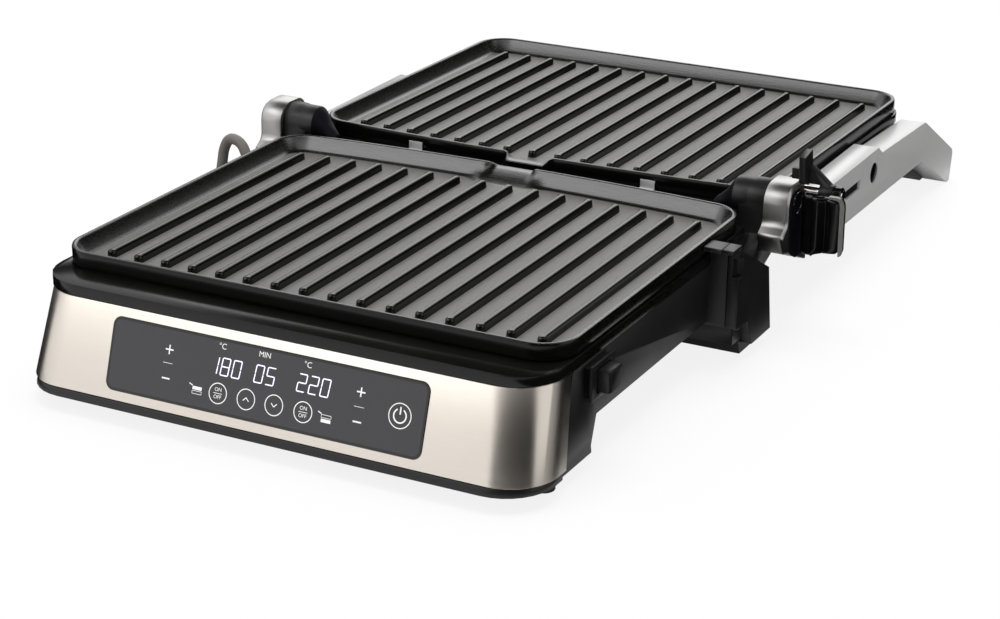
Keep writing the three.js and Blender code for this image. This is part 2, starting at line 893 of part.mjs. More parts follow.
// Side view of a hinge post: a slanted shin up to a round head on the hinge axis
function postOutline() {
  return filleted([
    corner(-postHeadRadius, hingeHeight + postHeadRadius, postHeadRadius * postRoundShare),
    corner(-postHeadRadius, hingeHeight - postHeadRadius / 2),
    corner(-postShin, postShinHeight),
    corner(-postToe, postToeHeight),
    corner(-legRearFoot - overrun, postHeelHeight - overrun),
    corner(postHeel, postHeelHeight + postHeel),
    corner(postHeadRadius, hingeHeight - postHeadRadius),
    corner(postHeadRadius, hingeHeight + postHeadRadius, postHeadRadius * postRoundShare),
  ], 7);
}

// The horn that fairs a post's head down to the back of the base
function horn() {
  const ring = (x, radius, z) => {
    const points = [];
    for (let step = 0; step < 14; step += 1) {
      const angle = (2 * Math.PI * step) / 14;
      points.push(new THREE.Vector3(x, radius * Math.cos(angle), z + radius * Math.sin(angle)));
    }
    return points;
  };
  const middleShare = 0.45;
  const sag = (hingeHeight - hornTipHeight) * middleShare;
  const waist = hornTipRadius + (postHeadRadius - hornTipRadius) * middleShare;
  return loft([
    ring(hornInner, hornTipRadius, hornTipHeight),
    ring((hornInner + postInner) / 2, waist, hingeHeight - sag),
    ring(postInner + overrun, postHeadRadius, hingeHeight),
  ]);
}

function gusset() {
  return alongX([
    new THREE.Vector2(-deckHingeEdge + seatGap, gussetFootHeight),
    new THREE.Vector2(gussetRear, gussetFootHeight + gussetRear),
    new THREE.Vector2(gussetRear, gussetTopHeight - overrun),
    new THREE.Vector2(0, gussetTopHeight),
    new THREE.Vector2(-deckHingeEdge + seatGap, gussetTopHeight - overrun),
  ], gussetInner, postInner + overrun);
}

// The base's tub: front plinth, side walls, rear leg and hinge posts in one moulding
function baseShell() {
  const top = deckFoot - seatGap;
  const skin = fasciaThickness + trimInset + seatGap;
  const plinth = loft([plinthHeight, top].map((z) => frontOutline(z, skin, -plinthRear)));
  const returnFoot = fasciaReturnAt(plinthHeight) + seatGap;
  const tub = alongX([
    new THREE.Vector2(fasciaReturnAt(top) + seatGap, top),
    new THREE.Vector2(returnFoot, plinthHeight),
    new THREE.Vector2(-plinthRear, plinthHeight),
    new THREE.Vector2(-plinthRearTop, floorHeight),
    new THREE.Vector2(-legFrontShoulder, floorHeight),
    new THREE.Vector2(-legRearFoot, floorHeight),
    new THREE.Vector2(-legRearTop, rearWallFoot),
    new THREE.Vector2(-deckHingeEdge - shellWall, rearWallFoot),
    new THREE.Vector2(-deckHingeEdge - seatGap, top),
  ], -baseHalfWidth, baseHalfWidth);
  const leg = alongX(filleted(legOutline(legSole, legTopHeight), 3), -legHalfWidth, legHalfWidth);
  const ledge = block([baseHalfWidth + seatGap, legHalfWidth],
    [-legTopFront - ledgeReach, -legTopFront + overrun],
    [legTopHeight - seatGap, legTopHeight - seatGap + ledgeThickness]);
  const posts = sides.flatMap(([, side]) => [
    onSide(alongX(postOutline(), postInner, postOuter), side),
    onSide(horn(), side),
    onSide(gusset(), side),
  ]);
  const cavityHalf = baseHalfWidth - shellWall;
  const frontCavity = loft([plinthHeight + shellWall, top + overrun]
    .map((z) => frontOutline(z, skin + shellWall, -plinthRear - shellWall)));
  const mainCavity = block([-cavityHalf, cavityHalf],
    [fasciaReturnAt(top) + overrun, -legTopFront - shellWall], [floorHeight - overrun, top + overrun]);
  const rearCavity = block([-cavityHalf, cavityHalf],
    [-legTopFront - shellWall - overrun, -deckHingeEdge - shellWall - seatGap],
    [rearWallFoot + shellWall, top + overrun]);
  const cheekSpace = block([-baseHalfWidth - seatGap, baseHalfWidth + seatGap],
    [-legTopFront - ledgeReach - overrun, -deckHingeEdge - postHeadRadius], [top, legTopHeight + ledgeReach]);
  const leftStep = block([-legHalfWidth - overrun, -baseHalfWidth - seatGap],
    [-legTopFront - overrun, -legRearTop], [legLeftHeight, legTopHeight + ledgeReach]);
  const traySpace = block([-trayHalfLength - slideGap, legHalfWidth + overrun],
    [-trayFront - slideGap, -trayRear + slideGap], [trayFloorHeight - slideGap, trayRimHeight + slideGap]);
  const chuteSlot = block([-chuteHalfWidth - slideGap, chuteHalfWidth + slideGap],
    [-chuteLip - overrun, -legRearFoot + overrun], [trayRimHeight, rearWallFoot + shellWall + overrun]);
  const legHollow = block([-padX + padLength, padX - padLength],
    [-legFrontFoot + shellWall, -legRearFoot - shellWall],
    [-overrun, trayFloorHeight - slideGap - shellWall]);
  const window = panelWindow(-panelCornerRadius, fasciaThickness + trimInset + shellWall + overrun);
  const pinBore = barAlongX(hingePinRadius + seatGap, -postOuter - overrun, postOuter + overrun,
    0, hingeHeight);
  const latchHole = block([cavityHalf - overrun, baseHalfWidth + overrun],
    [-latchMiddle() - buttonStemSize / 2 - slideGap, -latchMiddle() + buttonStemSize / 2 + slideGap],
    [latchCentre() - buttonStemSize / 2 - slideGap, latchCentre() + buttonStemSize / 2 + slideGap]);
  const reliefHole = reliefBar(reliefRootRadius / 2 + seatGap, -shellWall * 4, overrun)
    .add(reliefBar(reliefRootRadius + reliefRibDepth, 0, reliefRootRadius * 2));
  const pinSpace = block([-postInner + overrun, postInner - overrun], [-postHeadRadius, postHeadRadius],
    [hingeHeight - hingePinRadius, hingeHeight + hingePinRadius]);
  const pinHoles = pinBore.subtract(pinSpace);
  return join([plinth, tub, leg, ledge])
    .subtract(join([frontCavity, mainCavity, rearCavity, cheekSpace, leftStep]))
    .add(join(posts))
    .subtract(join([traySpace, chuteSlot, legHollow, window, pinHoles, latchHole, reliefHole]));
}

function latchMiddle() {
  return (latchFront + latchRear) / 2;
}

function latchCentre() {
  return (latchFoot + latchHead) / 2;
}

// A bar along the strain relief's own direction, from one place on it to another
function reliefBar(radius, from, to, farRadius = radius, turns = 12) {
  const start = new THREE.Vector3(-legHalfWidth, reliefY, reliefHeight);
  const bar = new THREE.CylinderGeometry(farRadius, radius, to - from, turns);
  bar.translate(0, (from + to) / 2, 0);
  bar.applyQuaternion(new THREE.Quaternion().setFromUnitVectors(new THREE.Vector3(0, 1, 0), reliefTravel));
  bar.translate(start.x, start.y, start.z);
  return solidOf(bar);
}

// The plate that closes the underside between the plinth and the rear leg
function bottomCover() {
  const half = baseHalfWidth - shellWall - slideGap;
  const sheet = block([-half, half], [-plinthRearTop + overrun, -legTopFront - shellWall - slideGap],
    [floorHeight, floorHeight + shellWall]);
  const slots = [];
  const slotCount = 7;
  for (let slot = 0; slot < slotCount; slot += 1) {
    const x = (slot - (slotCount - 1) / 2) * buttonWidth;
    slots.push(block([x - overrun, x + overrun],
      [-plateHingeGap - plateDepth / 2, -plateHingeGap - plateDepth / 2 + panelHeight],
      [floorHeight - overrun, floorHeight + shellWall + overrun]));
  }
  return sheet.subtract(join(slots));
}

// The chute that leads the grease from both spouts down into the drip tray
function greaseChute() {
  const run = new THREE.Vector2(chuteRear + chuteLip, chuteRearHeight - chuteLipHeight);
  const drop = chuteThickness * run.length() / run.x;
  const bed = (rise) => [
    new THREE.Vector2(-chuteLip, chuteLipHeight + rise),
    new THREE.Vector2(chuteRear, chuteRearHeight + rise),
  ];
  const [lip, rear] = bed(0);
  const floorPlate = alongX([lip, rear, new THREE.Vector2(rear.x, rear.y - drop),
    new THREE.Vector2(lip.x, lip.y - drop)], -chuteHalfWidth, chuteHalfWidth);
  const backKerb = alongX([rear, new THREE.Vector2(rear.x, rear.y + chuteKerb),
    new THREE.Vector2(rear.x - chuteThickness, rear.y + chuteKerb),
    new THREE.Vector2(rear.x - chuteThickness, rear.y - drop), new THREE.Vector2(rear.x, rear.y - drop)],
  -chuteHalfWidth, chuteHalfWidth);
  return floorPlate.add(backKerb);
}

// The drawer that catches the grease, with its end panel and pull ledge
function dripTray() {
  const body = block([-trayHalfLength, legHalfWidth + seatGap + overrun],
    [-trayFront, -trayRear], [trayFloorHeight, trayRimHeight]);
  const hollow = block([-trayHalfLength + trayWall, legHalfWidth - trayWall],
    [-trayFront + trayWall, -trayRear - trayWall], [trayFloorHeight + trayWall, trayRimHeight + overrun]);
  const end = alongX(filleted(legOutline(trayEndFoot, legTopHeight), 3), legHalfWidth + seatGap, trayEndFace);
  const ledge = block([legHalfWidth + seatGap, trayEndFace],
    [-legTopFront - ledgeReach, -legTopFront + overrun],
    [legTopHeight - seatGap, legTopHeight - seatGap + ledgeThickness]);
  const pocket = block([trayEndFace - pocketDepth, trayEndFace + overrun],
    [-pocketFront, -pocketRear], [pocketFoot, pocketHead]);
  return join([body, end, ledge]).subtract(hollow).subtract(pocket);
}

// Side view of the cast knuckle: round head, waist, flared heel, and a butt for the arm
function knuckleOutline() {
  return filleted([
    corner(-knuckleHeadReach, hingeHeight + knuckleHeadTop, knuckleHeadRadius),
    corner(-knuckleWaist, knuckleWaistHeight, knuckleHeadRadius / 2),
    corner(-knuckleFlare, knuckleFlareHeight, knuckleHeadRadius / 4),
    corner(-knuckleHeelFront, knuckleHeelHeight, knuckleHeadRadius / 3),
    corner(0, knuckleHeelHeight - knuckleHeadRadius / 2, knuckleHeadRadius / 2),
    corner(knuckleRear, knuckleFootHeight),
    corner(knuckleRear, armTopHeight, knuckleHeadRadius / 4),
    corner(knuckleHeadRearReach, hingeHeight + knuckleHeadTop, knuckleShoulderRadius),
  ], 4);
}

// A prism along X whose outer edge is chamfered
function chamferedAlongX(outline, inner, outer, edge) {
  const centre = new THREE.Vector2();
  outline.forEach((point) => centre.addScaledVector(point, 1 / outline.length));
  const drawnIn = outline.map((point, index) => {
    const before = outline[(index + outline.length - 1) % outline.length];
    const after = outline[(index + 1) % outline.length];
    const along = after.clone().sub(before).normalize();
    const inward = new THREE.Vector2(-along.y, along.x);
    if (inward.dot(centre.clone().sub(point)) < 0) {
      inward.negate();
    }
    return point.clone().addScaledVector(inward, edge);
  });
  const ring = (points, x) => points.map((point) => new THREE.Vector3(x, point.x, point.y));
  return loft([ring(outline, inner), ring(outline, outer - edge), ring(drawnIn, outer)]);
}

function knuckle(side) {
  const body = chamferedAlongX(knuckleOutline(), knuckleInner, knuckleOuter, knuckleEdge);
  const bore = barAlongX(hingePinRadius + seatGap, knuckleInner - overrun, knuckleOuter + overrun,
    0, hingeHeight);
  const recess = barAlongX(knuckleRecessRadius, knuckleOuter - knuckleRecessDepth, knuckleOuter + overrun,
    0, hingeHeight, 24);
  const plain = body.subtract(bore).subtract(recess);
  if (side < 0) {
    return mirrored(plain);
  }
  const rodBore = barAlongX(rodRadius + seatGap, rodInner - seatGap, knuckleOuter + overrun, rodY, rodHeight);
  return plain.subtract(rodBore);
}

function hingePin() {
  const outer = knuckleOuter - knuckleRecessDepth + seatGap * 2;
  return barAlongX(hingePinRadius, postInner, outer, 0, hingeHeight);
}

function knuckleCap() {
  return barAlongX(knuckleRecessRadius - seatGap, knuckleOuter - knuckleRecessDepth + seatGap * 3,
    knuckleOuter - seatGap * 2, 0, hingeHeight, 24);
}

// Side view of an arm from the knuckle to the toe that stands on the table
function armOutline() {
  return filleted([
    corner(armRiseEnd, armFootHeight, armTipRadius),
    corner(knuckleRear + seatGap, armNearFoot),
    corner(knuckleRear + seatGap, armTopHeight),
    corner(armStepNear, armTopHeight),
    corner(armStepFar, armStepHeight, armStepRadius),
    corner(armPeak, armPeakHeight, armPeakRadius),
    corner(armTip, armTipHeight, armTipRadius),
    corner(armToe + armToeFlat / 2, 0, armToeFlat / 5),
    corner(armToe - armToeFlat / 2, 0, armToeFlat / 5),
    corner(armCrook, armFootHeightFar, armPeakRadius / 2),
  ], 4);
}

function arm() {
  const body = alongX(armOutline(), armInner, armOuter);
  const slot = alongX([
    new THREE.Vector2(armSlotNear, armSlotHeight + armSlotSize),
    new THREE.Vector2(armSlotNear + armSlotSlant, armSlotHeight),
    new THREE.Vector2(armSlotFar, armSlotHeight),
    new THREE.Vector2(armSlotFar, armSlotHeight + armSlotSize),
  ], armInner - overrun, armOuter + overrun);
  const bore = barAlongX(pivotPinRadius + seatGap, armInner - overrun, armOuter, pivotY, pivotHeight);
  const sink = barAlongX(pivotHeadRadius + seatGap, armOuter - pivotHeadDepth - seatGap, armOuter + overrun,
    pivotY, pivotHeight, 24);
  return body.subtract(join([slot, bore, sink]));
}

function pivotPin() {
  const shank = barAlongX(pivotPinRadius, pivotBossInner + overrun, armOuter - pivotHeadDepth + seatGap,
    pivotY, pivotHeight);
  const head = barAlongX(pivotHeadRadius, armOuter - pivotHeadDepth, armOuter - seatGap,
    pivotY, pivotHeight, 24);
  return shank.add(head);
}

// The bright top of the handle and the dark grip under it
function handleBar() {
  const half = armInner - seatGap;
  return alongX(filleted([
    corner(handleNear, handleTopNear, handleEdgeRadius),
    corner(armTip - handleTipInset, handleTopFar, handleEdgeRadius),
    corner(armTip - handleTipInset, handleTopFar - handleSkin),
    corner(handleNear, handleTopNear - handleSkin),
  ], 3), -half, half);
}

function handleGrip() {
  const half = armInner - seatGap;
  return alongX(filleted([
    corner(handleNear, handleTopNear - handleSkin - seatGap),
    corner(armTip - handleTipInset, handleTopFar - handleSkin - seatGap, handleEdgeRadius),
    corner(gripEnd, gripTableGap, handleEdgeRadius),
    corner(gripToe, gripTableGap, handleEdgeRadius),
    corner(gripKnee, gripKneeHeight, handleEdgeRadius),
    corner(handleNear, gripNearHeight, handleEdgeRadius),
  ], 3), -half, half);
}

// The rod across the right knuckle that carries the release lever and the height cam
function releaseRod() {
  return barAlongX(rodRadius, rodInner, rodOuter, rodY, rodHeight);
}

// The ribbed release lever, hung on the rod by a lug at its outer end
function releaseLever() {
  const width = leverOuter - leverInner;
  const ribShares = [0, 0.14, 0.28, 0.3, 0.52, 0.54, 0.66, 0.7, 1];
  const depthShares = [0.35, 0.62, 0.62, 0.9, 0.9, 0.68, 0.68, 1, 1];
  const front = ribShares.map((share, index) => new THREE.Vector2(
    leverInner + width * share, -leverFront * depthShares[index]));
  const rear = [leverOuter, leverInner].map((x) => new THREE.Vector2(x, leverRear));
  const outline = [...front, ...rear];
  const body = alongZ(outline, leverFootHeight, leverTopHeight);
  const lug = barAlongX(leverLugRadius, leverOuter - leverLugWidth, leverOuter, rodY, rodHeight);
  const web = block([leverOuter - leverLugWidth, leverOuter], [0, rodY],
    [rodHeight - leverLugRadius, rodHeight + leverStep]);
  const footCut = alongX([
    new THREE.Vector2(-leverFront - overrun, leverFootHeight + leverStep * 2),
    new THREE.Vector2(-leverFront - overrun, leverFootHeight - overrun),
    new THREE.Vector2(0, leverFootHeight - overrun),
  ], leverInner - overrun, leverOuter + overrun);
  const bore = barAlongX(rodRadius + seatGap, leverInner - overrun, leverOuter + overrun, rodY, rodHeight);
  return join([body, lug, web]).subtract(footCut).subtract(bore);
}

function leverTrim() {
  const outline = filleted([
    corner(-leverFront - leverTrimEdge, leverFootHeight - leverTrimEdge + leverStep * 2, leverStep),
    corner(0, leverFootHeight - leverTrimEdge, leverStep),
    corner(leverRear + leverTrimEdge, leverFootHeight + leverLugRadius, leverStep),
    corner(leverRear + leverTrimEdge, leverTopHeight + leverTrimEdge, leverStep),
    corner(-leverFront - leverTrimEdge, leverTopHeight + leverTrimEdge, leverStep),
  ], 3);
  const inner = leverOuter + seatGap;
  return chamferedAlongX(outline, inner, inner + leverTrimThickness, leverTrimEdge);
}

// The stepped cam that sets the lid's height: a tall and a low finger on a sloping web
function heightCam() {
  const fingerOuter = camInner + camFingerThickness;
  const tall = alongX([
    new THREE.Vector2(-camRootFront, camRootHeight),
    new THREE.Vector2(-camFingerFront, camFingerHeight - leverStep),
    new THREE.Vector2(camFingerRear, camFingerHeight),
    new THREE.Vector2(camRootRear, camRootHeight),
    new THREE.Vector2(camRootRear, rodHeight + camHubRadius),
    new THREE.Vector2(rodY - camHubRadius, rodHeight + camHubRadius),
  ], camInner, fingerOuter);
  const low = block([camStepInner, camInner + overrun], [-camStepFront, camStepRear],
    [camRootHeight + overrun, camStepHeight]);
  const web = alongY([
    new THREE.Vector2(camInner, rodHeight + camHubRadius),
    new THREE.Vector2(camInner, camWebTop),
    new THREE.Vector2(fingerOuter, camWebTop),
    new THREE.Vector2(camHubOuter, rodHeight + camHubRadius - leverStep),
    new THREE.Vector2(camHubOuter, rodHeight + rodRadius),
    new THREE.Vector2(camHubInner, rodHeight + rodRadius),
    new THREE.Vector2(camHubInner, rodHeight + camHubRadius),
  ], rodY - camHubRadius / 2, camRootRear);
  const hub = barAlongX(camHubRadius, camHubInner, camHubOuter, rodY, rodHeight);
  const bore = barAlongX(rodRadius + seatGap, camStepInner - overrun, camHubOuter + overrun, rodY, rodHeight);
  return join([tall, low, web, hub]).subtract(bore);
}

// The frame of a plate latch, drawn on a wall that faces +X
function latchFrame(wall) {
  const [front, rear] = [-latchFront, -latchRear];
  const frame = block([wall, wall + latchDepth], [front, rear], [latchFoot, latchHead]);
  const flange = block([wall + latchDepth, wall + latchDepth + latchFlange],
    [front - latchFlangeEdge, rear + latchFlangeEdge],
    [latchFoot - latchFlangeEdge, latchHead + latchFlangeEdge]);
  const hole = block([wall - overrun, wall + latchDepth + latchFlange + overrun],
    [-latchMiddle() - buttonWidth / 2 - slideGap, -latchMiddle() + buttonWidth / 2 + slideGap],
    [latchCentre() - buttonHeight / 2 - slideGap, latchCentre() + buttonHeight / 2 + slideGap]);
  return frame.add(flange).subtract(hole);
}

// The button that slides in a latch frame and pulls the plate's catch
function latchButton(wall) {
  const outline = filleted([
    corner(-latchMiddle() - buttonWidth / 2, latchCentre() - buttonHeight / 2, buttonEdge),
    corner(-latchMiddle() + buttonWidth / 2, latchCentre() - buttonHeight / 2, buttonEdge),
    corner(-latchMiddle() + buttonWidth / 2, latchCentre() + buttonHeight / 2, buttonEdge),
    corner(-latchMiddle() - buttonWidth / 2, latchCentre() + buttonHeight / 2, buttonEdge),
  ], 2);
  const face = wall + latchDepth + latchFlange + buttonProud;
  const head = chamferedAlongX(outline, face - buttonProud - latchFlange, face, buttonEdge);
  const stem = block([wall - shellWall - slideGap - overrun, face - buttonProud],
    [-latchMiddle() - buttonStemSize / 2, -latchMiddle() + buttonStemSize / 2],
    [latchCentre() - buttonStemSize / 2, latchCentre() + buttonStemSize / 2]);
  return head.add(stem);
}

// The coil spring round a button's stem, between the wall and the button's head
function latchSpring(wall) {
  const points = [];
  const stepsPerCurl = 8;
  const from = wall + springWire + seatGap;
  const reach = latchDepth - 2 * (springWire + seatGap);
  const total = wallSpringCurls * stepsPerCurl;
  for (let step = 0; step <= total; step += 1) {
    const angle = (2 * Math.PI * step) / stepsPerCurl;
    points.push(new THREE.Vector3(
      from + (reach * step) / total,
      -latchMiddle() + springRadius * Math.cos(angle),
      latchCentre() + springRadius * Math.sin(angle),
    ));
  }
  return tubeThrough(points, springWire / 2, 5);
}

// The tab on the lid's far wall that frees the upper plate, in the lid's frame
function upperButton() {
  const wall = lidFar - seatGap;
  const face = wall + tabProud;
  const [from, to] = [wall - shellWall - tabInside, face];
  return block([tabX - tabWidth / 2, tabX + tabWidth / 2], [from, to], [tabFoot, tabFoot + tabHeight]);
}

function upperSpring() {
  const [from, to] = [springPostY + seatGap + springWire / 2, springPostY + springLength];
  const stepsPerCurl = 8;
  const total = springCurls * stepsPerCurl;
  const points = [];
  for (let step = 0; step <= total; step += 1) {
    const angle = (2 * Math.PI * step) / stepsPerCurl;
    points.push(new THREE.Vector3(
      tabX + (tabHeight / 2) * Math.cos(angle),
      from + ((to - from) * step) / total,
      tabFoot + tabHeight / 2 + (tabHeight / 2) * Math.sin(angle),
    ));
  }
  return tubeThrough(points, springWire / 2, 5);
}

// The lid's tub, tapered towards its outer face, with bosses for its pivots
function lidShell() {
  const top = lidPlateTop - deckDrop - deckThickness - seatGap;
  const ring = (inset, z) => filleted([
    corner(-lidHalfWidth + inset, lidShellHingeEdge + inset, lidCornerRadius),
    corner(lidHalfWidth - inset, lidShellHingeEdge + inset, lidCornerRadius),
    corner(lidHalfWidth - inset, lidFar - seatGap - inset, lidCornerRadius),
    corner(-lidHalfWidth + inset, lidFar - seatGap - inset, lidCornerRadius),
  ], 6).map((point) => new THREE.Vector3(point.x, point.y, z));
  const outside = loft([
    ring(lidDraft, lidFootHeight), ring(lidDraft / 3, lidFootHeight + lidDraft), ring(seatGap, top),
  ]);
  const inside = loft([
    ring(lidDraft + shellWall, lidFootHeight + shellWall),
    ring(lidDraft / 3 + shellWall, lidFootHeight + lidDraft + shellWall / 2),
    ring(seatGap + shellWall, top + overrun),
  ]);
  const bosses = join(sides.map(([, side]) => onSide(
    barAlongX(pivotBossRadius, pivotBossInner, armInner - slideGap, pivotY, pivotHeight), side)));
  const bores = barAlongX(pivotPinRadius + seatGap, pivotBossInner + overrun - seatGap, armInner + overrun,
    pivotY, pivotHeight);
  const stopBores = barAlongX(stopPinRadius + seatGap, armInner - stopPinLength, armInner + overrun,
    stopPinY, pivotHeight - stopPinDrop, 10);
  const reflectorPosts = [-1, 1].flatMap((way) => [reflectorNear, reflectorFar].map((edge) => {
    const inset = reflectorDraft * 3 * (edge === reflectorNear ? 1 : -1);
    return barAlongZ(reflectorPostRadius, lidFootHeight + shellWall / 2,
      lidPlateTop - reflectorTop - reflectorDepth - seatGap, way * (reflectorHalfWidth - reflectorDraft * 3),
      plateHingeGap + edge + inset, 10);
  }));
  const springPost = block([tabX - springPostWidth / 2, tabX + springPostWidth / 2],
    [springPostY - shellWall, springPostY], [lidFootHeight + shellWall / 2, tabFoot + tabHeight + overrun]);
  const tabHole = block([tabX - tabWidth / 2 - slideGap, tabX + tabWidth / 2 + slideGap],
    [springPostY + seatGap, lidFar + overrun], [tabFoot - slideGap, tabFoot + tabHeight + slideGap]);
  const stopBosses = join(sides.map(([, side]) => onSide(barAlongX(stopPinRadius * 3,
    lidHalfWidth - lidDraft / 2, armInner - slideGap, stopPinY, pivotHeight - stopPinDrop, 12), side)));
  return outside.subtract(inside).add(join([bosses, stopBosses, springPost, ...reflectorPosts]))
    .subtract(join([bores, mirrored(bores), stopBores, mirrored(stopBores), tabHole]));
}

// The brushed sheet on the lid's outer face, which is its top when the grill is closed
function lidCover() {
  const inset = lidDraft + coverMargin;
  const outline = filleted([
    corner(-lidHalfWidth + inset, lidShellHingeEdge + inset, lidCornerRadius),
    corner(lidHalfWidth - inset, lidShellHingeEdge + inset, lidCornerRadius),
    corner(lidHalfWidth - inset, lidFar - inset, lidCornerRadius),
    corner(-lidHalfWidth + inset, lidFar - inset, lidCornerRadius),
  ], 6);
  const top = lidFootHeight - seatGap;
  return alongZ(outline, top - coverThickness, top);
}

function stopPin() {
  return barAlongX(stopPinRadius, armInner - stopPinLength + seatGap, armOuter - overrun,
    stopPinY, pivotHeight - stopPinDrop, 10);
}

// The cord: strain relief, free lead, coil and plug
function strainRelief() {
  const sleeve = reliefBar(reliefRootRadius, seatGap, reliefLength, cordRadius + reliefRibDepth);
  const ribs = [];
  for (let rib = 0; rib < reliefRibs; rib += 1) {
    const at = (reliefLength * (rib + 1)) / (reliefRibs + 1);
    const sleeveTip = cordRadius + reliefRibDepth;
    const sleeveRadius = THREE.MathUtils.lerp(reliefRootRadius, sleeveTip, at / reliefLength);
    const radius = sleeveRadius + reliefRibDepth / 2;
    ribs.push(reliefBar(radius, at - reliefRibDepth, at + reliefRibDepth));
  }
  const neck = reliefBar(reliefRootRadius / 2, -shellWall * 3, reliefRibDepth);
  return join([sleeve, neck, ...ribs]);
}

// Points of the coil: it spirals in on the table, climbs, and spirals out again
function coilPoints() {
  const outer = coilMidRadius + (coilPitch * (coilLoops / 2 - 1)) / 2;
  const total = coilLoops * coilSteps;
  const points = [];
  for (let step = 0; step <= total; step += 1) {
    const turn = step / coilSteps;
    const inwards = Math.min(turn, coilLoops - turn);
    const radius = outer - coilPitch * inwards + coilPitch / 2;
    const climb = THREE.MathUtils.clamp((turn - coilLoops / 2) * 2 + 0.5, 0, 1);
    const angle = 2 * Math.PI * turn;
    points.push(new THREE.Vector3(
      coilX + radius * Math.cos(angle),
      coilY - radius * Math.sin(angle),
      cordRadius + coilLift * climb,
    ));
  }
  const straight = (from, towards) => from.clone().add(
    from.clone().sub(towards).setLength(2 * cordRadius));
  const first = straight(points[0], points[1]);
  const last = straight(points[total], points[total - 1]);
  return [first, ...points, last];
}

// The least gap between parts of the coil that are not neighbours along it
function leastGap(points, radius) {
  let least = Infinity;
  points.forEach((point, index) => {
    for (let other = index + coilSteps / 3; other < points.length; other += 1) {
      least = Math.min(least, point.distanceTo(points[other]) - 2 * radius);
    }
  });
  return least;
}

// Places along the cord's free stretches, in order from the relief to the plug.
// The first number of each is the distance from the leg's left end.
const routeFromRelief = [
  [24.5, -22, 65.6], [29, -21.3, 65.2], [32.8, -21.3, 60.5], [34.6, -22.8, 50], [35, -25.5, 36],
  [32, -31, 17], [23, -38, 6], [13.5, -47.5, 3.8], [7, -61, 3.5],
];
const routeToPlug = [[5.8, -99, 9.4], [10.6, -111, 8.4]];
const besideLeg = ([out, y, z]) => new THREE.Vector3(-legHalfWidth - out, y, z);

// The free lead: up out of the relief, over an arch and down to the coil on the table
function cordLead(coil) {
  const start = new THREE.Vector3(-legHalfWidth, reliefY, reliefHeight)
    .addScaledVector(reliefTravel, reliefLength + seatGap);
  const straightOut = start.clone().addScaledVector(reliefTravel, 2 * cordRadius);
  const end = coil[0].clone().add(coil[0].clone().sub(coil[1]).setLength(seatGap));
  const beforeEnd = end.clone().add(coil[0].clone().sub(coil[1]).setLength(2 * cordRadius));
  const route = routeFromRelief.map(besideLeg);
  return cordTube([start, straightOut, ...route, beforeEnd, end]);
}

// The short stretch from the coil's outer end to the plug's nose
function plugLead(coil) {
  const [before, last] = coil.slice(-2);
  const travel = last.clone().sub(before);
  const start = last.clone().add(travel.clone().setLength(seatGap));
  const straightOut = last.clone().add(travel.clone().setLength(2 * cordRadius));
  const nose = new THREE.Vector3(plugX, plugY + plugNoseLength + seatGap, plugHeight / 2);
  const straightIn = nose.clone().add(new THREE.Vector3(0, 2 * cordRadius, 0));
  const route = routeToPlug.map(besideLeg);
  return cordTube([start, straightOut, ...route, straightIn, nose]);
}

// A round-pin plug lying on the table, its pins towards the front
function mainsPlug() {
  const half = plugWidth / 2;
  const ring = (inset, y) => filleted([
    corner(-half + inset, inset / 2, plugHeight / 4),
    corner(half - inset, inset / 2, plugHeight / 4),
    corner(half - inset, plugHeight - inset / 2, plugHeight / 4),
    corner(-half + inset, plugHeight - inset / 2, plugHeight / 4),
  ], 3).map((point) => new THREE.Vector3(plugX + point.x, y, point.y));
  const body = loft([ring(0, plugY - plugLength), ring(0, plugY - plugLength / 2), ring(half / 2, plugY)]);
  const nose = new THREE.CylinderGeometry(cordRadius + reliefRibDepth, reliefRootRadius, plugNoseLength, 12);
  nose.translate(plugX, plugY + plugNoseLength / 2, plugHeight / 2);
  const pins = sides.map(([, side]) => {
    const pin = new THREE.CylinderGeometry(plugPinRadius, plugPinRadius, plugPinLength + overrun, 10);
    const pinY = plugY - plugLength - (plugPinLength - overrun) / 2;
    pin.translate(plugX + (side * plugPinPitch) / 2, pinY, plugHeight / 2);
    return solidOf(pin);
  });
  return join([body, solidOf(nose), ...pins]);
}

function cordTube(places) {
  const curve = new THREE.CatmullRomCurve3(places, false, 'centripetal');
  const section = new THREE.Shape();
  for (let side = 0; side < cordSides; side += 1) {
    const angle = (2 * Math.PI * (side + 0.5)) / cordSides;
    const [x, y] = [cordRadius * Math.cos(angle), cordRadius * Math.sin(angle)];
    side ? section.lineTo(x, y) : section.moveTo(x, y);
  }
  const steps = Math.round(curve.getLength() / cordStepLength) * 2;
  return solidOf(new THREE.ExtrudeGeometry(section, { steps, extrudePath: curve, bevelEnabled: false }));
}

const base = new THREE.Group();
const upper = new THREE.Group();
const cord = new THREE.Group();
const whole = new THREE.Group();
whole.add(base, upper, cord);

// Base
addPiece(base, 'base_shell', baseShell(), blackPlastic);
addPiece(base, 'base_bottom_cover', bottomCover(), blackPlastic);
addPiece(base, 'steel_fascia', steelFascia(), brushedSteel);
addPiece(base, 'fascia_trim', fasciaTrim(), blackPlastic);
addPiece(base, 'grease_chute', greaseChute(), blackPlastic);
addPiece(base, 'drip_tray', dripTray(), blackPlastic);
addPiece(base, 'lower_latch_frame', latchFrame(baseHalfWidth + seatGap), blackPlastic);
addPiece(base, 'lower_release_button', latchButton(baseHalfWidth + seatGap), glossPlastic);
addPiece(base, 'lower_latch_spring', latchSpring(baseHalfWidth + seatGap), brightSteel);

